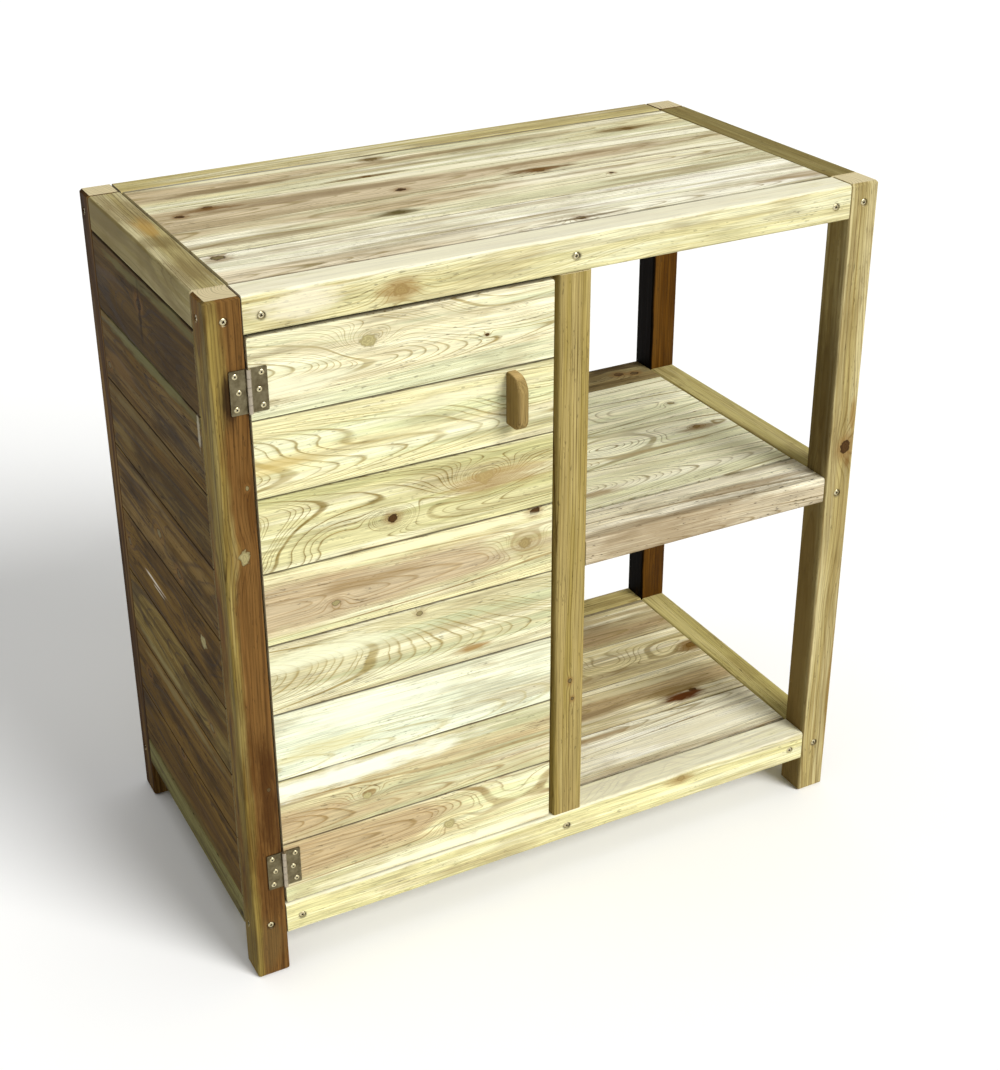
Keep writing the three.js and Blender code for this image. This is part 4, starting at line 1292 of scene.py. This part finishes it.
    def frame_seats(self) -> list[Seat]:
        """Lists the screws that hold the frame together, in the hollows of its four sides.

        Returns:
            One seat for each head.
        """
        seats: list[Seat] = []
        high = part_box("top_rail_front")[1].z - self.below_top
        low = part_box("bottom_rail_front")[0].z + self.above_bottom
        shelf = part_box("shelf_rail_front")[1].z - self.below_shelf
        half_post = (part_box("post_front_left")[1].x - LEFT_X) / 2
        middle = sum(corner.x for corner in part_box("post_back_middle")) / 2
        side_ys = (FRONT_Y + self.from_front, BACK_Y - self.from_back)
        for face_y, facing_y, side_y in zip((FRONT_Y, BACK_Y), (-1, 1), side_ys):
            y = face_y - facing_y * self.hollow
            for face_x, facing_x in ((LEFT_X, -1), (RIGHT_X, 1)):
                for z in (high, low) if face_x == LEFT_X else (high, shelf, low):
                    x = face_x - facing_x * half_post
                    seats.append(Seat((x, y, z), (0, facing_y, 0), self.frame_head))
                    x = face_x - facing_x * self.hollow
                    place = (x, side_y, z if z == high else z - self.side_drop)
                    seats.append(Seat(place, (facing_x, 0, 0), self.frame_head))
            for x in (LEFT_X + 3 * half_post, middle, RIGHT_X - 3 * half_post):
                for z in (high, low):
                    seats.append(Seat((x, y, z), (0, facing_y, 0), self.frame_head))
        return seats

    def leaf_seats(self, owner: str) -> list[Seat]:
        """Lists the screws in the leaves that belong to the post or the door.

        Args:
            owner: "post" or "door".

        Returns:
            Three seats for each of the two leaves.
        """
        side = -1 if owner == "post" else 1
        seats = []
        for level in ("lower", "upper"):
            low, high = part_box(f"hinge_{level}_{owner}_leaf")
            for row in (-1, 0, 1):
                x = PIN_X + side * (self.hole_outer if row else self.hole_inner)
                z = (low.z + high.z) / 2 + row * self.hole_spread
                place = (x, high.y - self.leaf_thickness, z)
                seats.append(Seat(place, (0, -1, 0), self.leaf_head))
        return seats

    def build_set(
        self, body: str, seats: list[Seat], head: bpy.types.Object, tree: Tree,
        steel: bpy.types.Material,
    ) -> None:
        """Makes the screws of one body as one plain mesh.

        Args:
            body: the CAD body that they ride on.
            seats: where the heads sit.
            head: the pattern of a head.
            tree: the Geometry Nodes tree that spreads the heads.
            steel: their material.
        """
        name = f"screws_{body}"
        mesh = bpy.data.meshes.new(f"{name}_seats")
        mesh.from_pydata([seat.place for seat in seats], [], [])
        mesh.attributes.new("outward", "FLOAT_VECTOR", "POINT")
        mesh.attributes.new("diameter", "FLOAT", "POINT")
        for k, seat in enumerate(seats):
            mesh.attributes["outward"].data[k].vector = seat.outward
            mesh.attributes["diameter"].data[k].value = seat.diameter
        holder = new_object(name, mesh)
        spread = holder.modifiers.new("heads", "NODES")
        spread.node_group = tree
        wanted = {"Head": head, "Turn seed": self.turn_seed, "Steel": steel}
        for socket in tree.interface.items_tree:
            if socket.in_out == "INPUT" and socket.name in wanted:
                spread[socket.identifier] = wanted[socket.name]
        plain = plain_mesh(holder)
        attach(holder, body)
        LOG.info("%s: %d heads, %d faces", name, len(seats), len(plain.polygons))

    def build(self) -> None:
        """Makes the screws of the frame and of both leaves."""
        head, tree, steel = self.head_mesh(), self.spreader(), self.steel.material()
        self.build_set("bench", self.frame_seats() + self.leaf_seats("post"), head, tree, steel)
        self.build_set("door", self.leaf_seats("door"), head, tree, steel)
        bpy.data.objects.remove(head)


@dataclass
class Studio:
    """A plain pale floor, soft light and the camera."""

    floor_size: float = 30.0
    floor_colour: str = "#f8f8f6"
    surround: float = 0.32
    key: float = 3.3
    key_from: Triple = (0.36, -0.74, 0.57)
    key_spread_deg: float = 30.0
    overhead: float = 0.75
    overhead_from: Triple = (0.0, 0.15, 1.0)
    overhead_spread_deg: float = 60.0
    eye: Triple = (-0.9307, -1.7881, 1.5055)
    target: Triple = (-0.0733, 0.0, 0.5415)
    roll_deg: float = -1.305
    lens_mm: float = 57.09
    sensor_mm: float = 36.0
    shift: tuple[float, float] = (0.0624, -0.0672)

    def floor(self) -> None:
        """Lays the floor of matt white paper, which shows only soft shadows."""
        half = self.floor_size / 2
        mesh = bpy.data.meshes.new("studio_floor")
        corners = [(-half, -half, 0), (half, -half, 0), (half, half, 0), (-half, half, 0)]
        mesh.from_pydata(corners, [], [(0, 1, 2, 3)])
        floor = new_object("studio_floor", mesh)
        paper = new_material("matt white studio paper")
        close_material(paper.node_tree, {"Base Color": linear(self.floor_colour),
                                         "Roughness": 0.9})
        paint(floor, paper)

    def sun(self, name: str, source: Triple, strength: float, spread_deg: float) -> None:
        """Hangs one far, soft light that falls evenly on the floor.

        Args:
            name: its name.
            source: the way to it from the bench.
            strength: its irradiance in watts a square metre.
            spread_deg: how wide it looks, which softens its shadows.
        """
        light = bpy.data.lights.new(name, "SUN")
        light.energy, light.angle = strength, math.radians(spread_deg)
        lamp = new_object(name, light)
        lamp.rotation_euler = (-Vector(source)).to_track_quat("-Z", "Y").to_euler()

    def light(self) -> None:
        """Lights the bench from above and from the front right, with a pale surround."""
        world = bpy.data.worlds.new("pale studio")
        bpy.context.scene.world = world
        world.use_nodes = True
        world.node_tree.nodes.clear()
        add = partial(add_node, world.node_tree)
        add("OutputWorld", add("Background", linear("#ffffff"), self.surround))
        self.sun("key", self.key_from, self.key, self.key_spread_deg)
        self.sun("overhead", self.overhead_from, self.overhead, self.overhead_spread_deg)

    def camera(self) -> None:
        """Stands the camera to the front left of the bench, a little above it."""
        lens = bpy.data.cameras.new("camera")
        lens.lens, lens.sensor_width = self.lens_mm, self.sensor_mm
        lens.shift_x, lens.shift_y = self.shift
        camera = new_object("camera", lens)
        camera.location = self.eye
        forward = (Vector(self.target) - Vector(self.eye)).to_track_quat("-Z", "Y")
        roll = Quaternion((0.0, 0.0, 1.0), math.radians(self.roll_deg))
        camera.rotation_euler = (forward @ roll).to_euler()
        bpy.context.scene.camera = camera

    def build(self) -> None:
        """Sets the whole studio up."""
        bpy.context.scene.view_settings.view_transform = "Standard"
        self.floor()
        self.light()
        self.camera()
        LOG.info("studio ready")


def main() -> None:
    """Dresses the bench, piece by piece, and sets the studio up."""
    logging.basicConfig(level=logging.INFO, format="%(name)s: %(message)s")
    screws = Screws()
    shop = PineShop(screws.frame_seats())
    for part in (Frame(shop), Worktop(shop), BottomShelf(shop), MiddleShelf(shop),
                 SidePanel(shop), InnerWalls(shop), Door(shop), Hinges()):
        part.dress()
        LOG.info("%s done", type(part).__name__)
    screws.build()
    Studio().build()


if __name__ == "__main__":
    main()
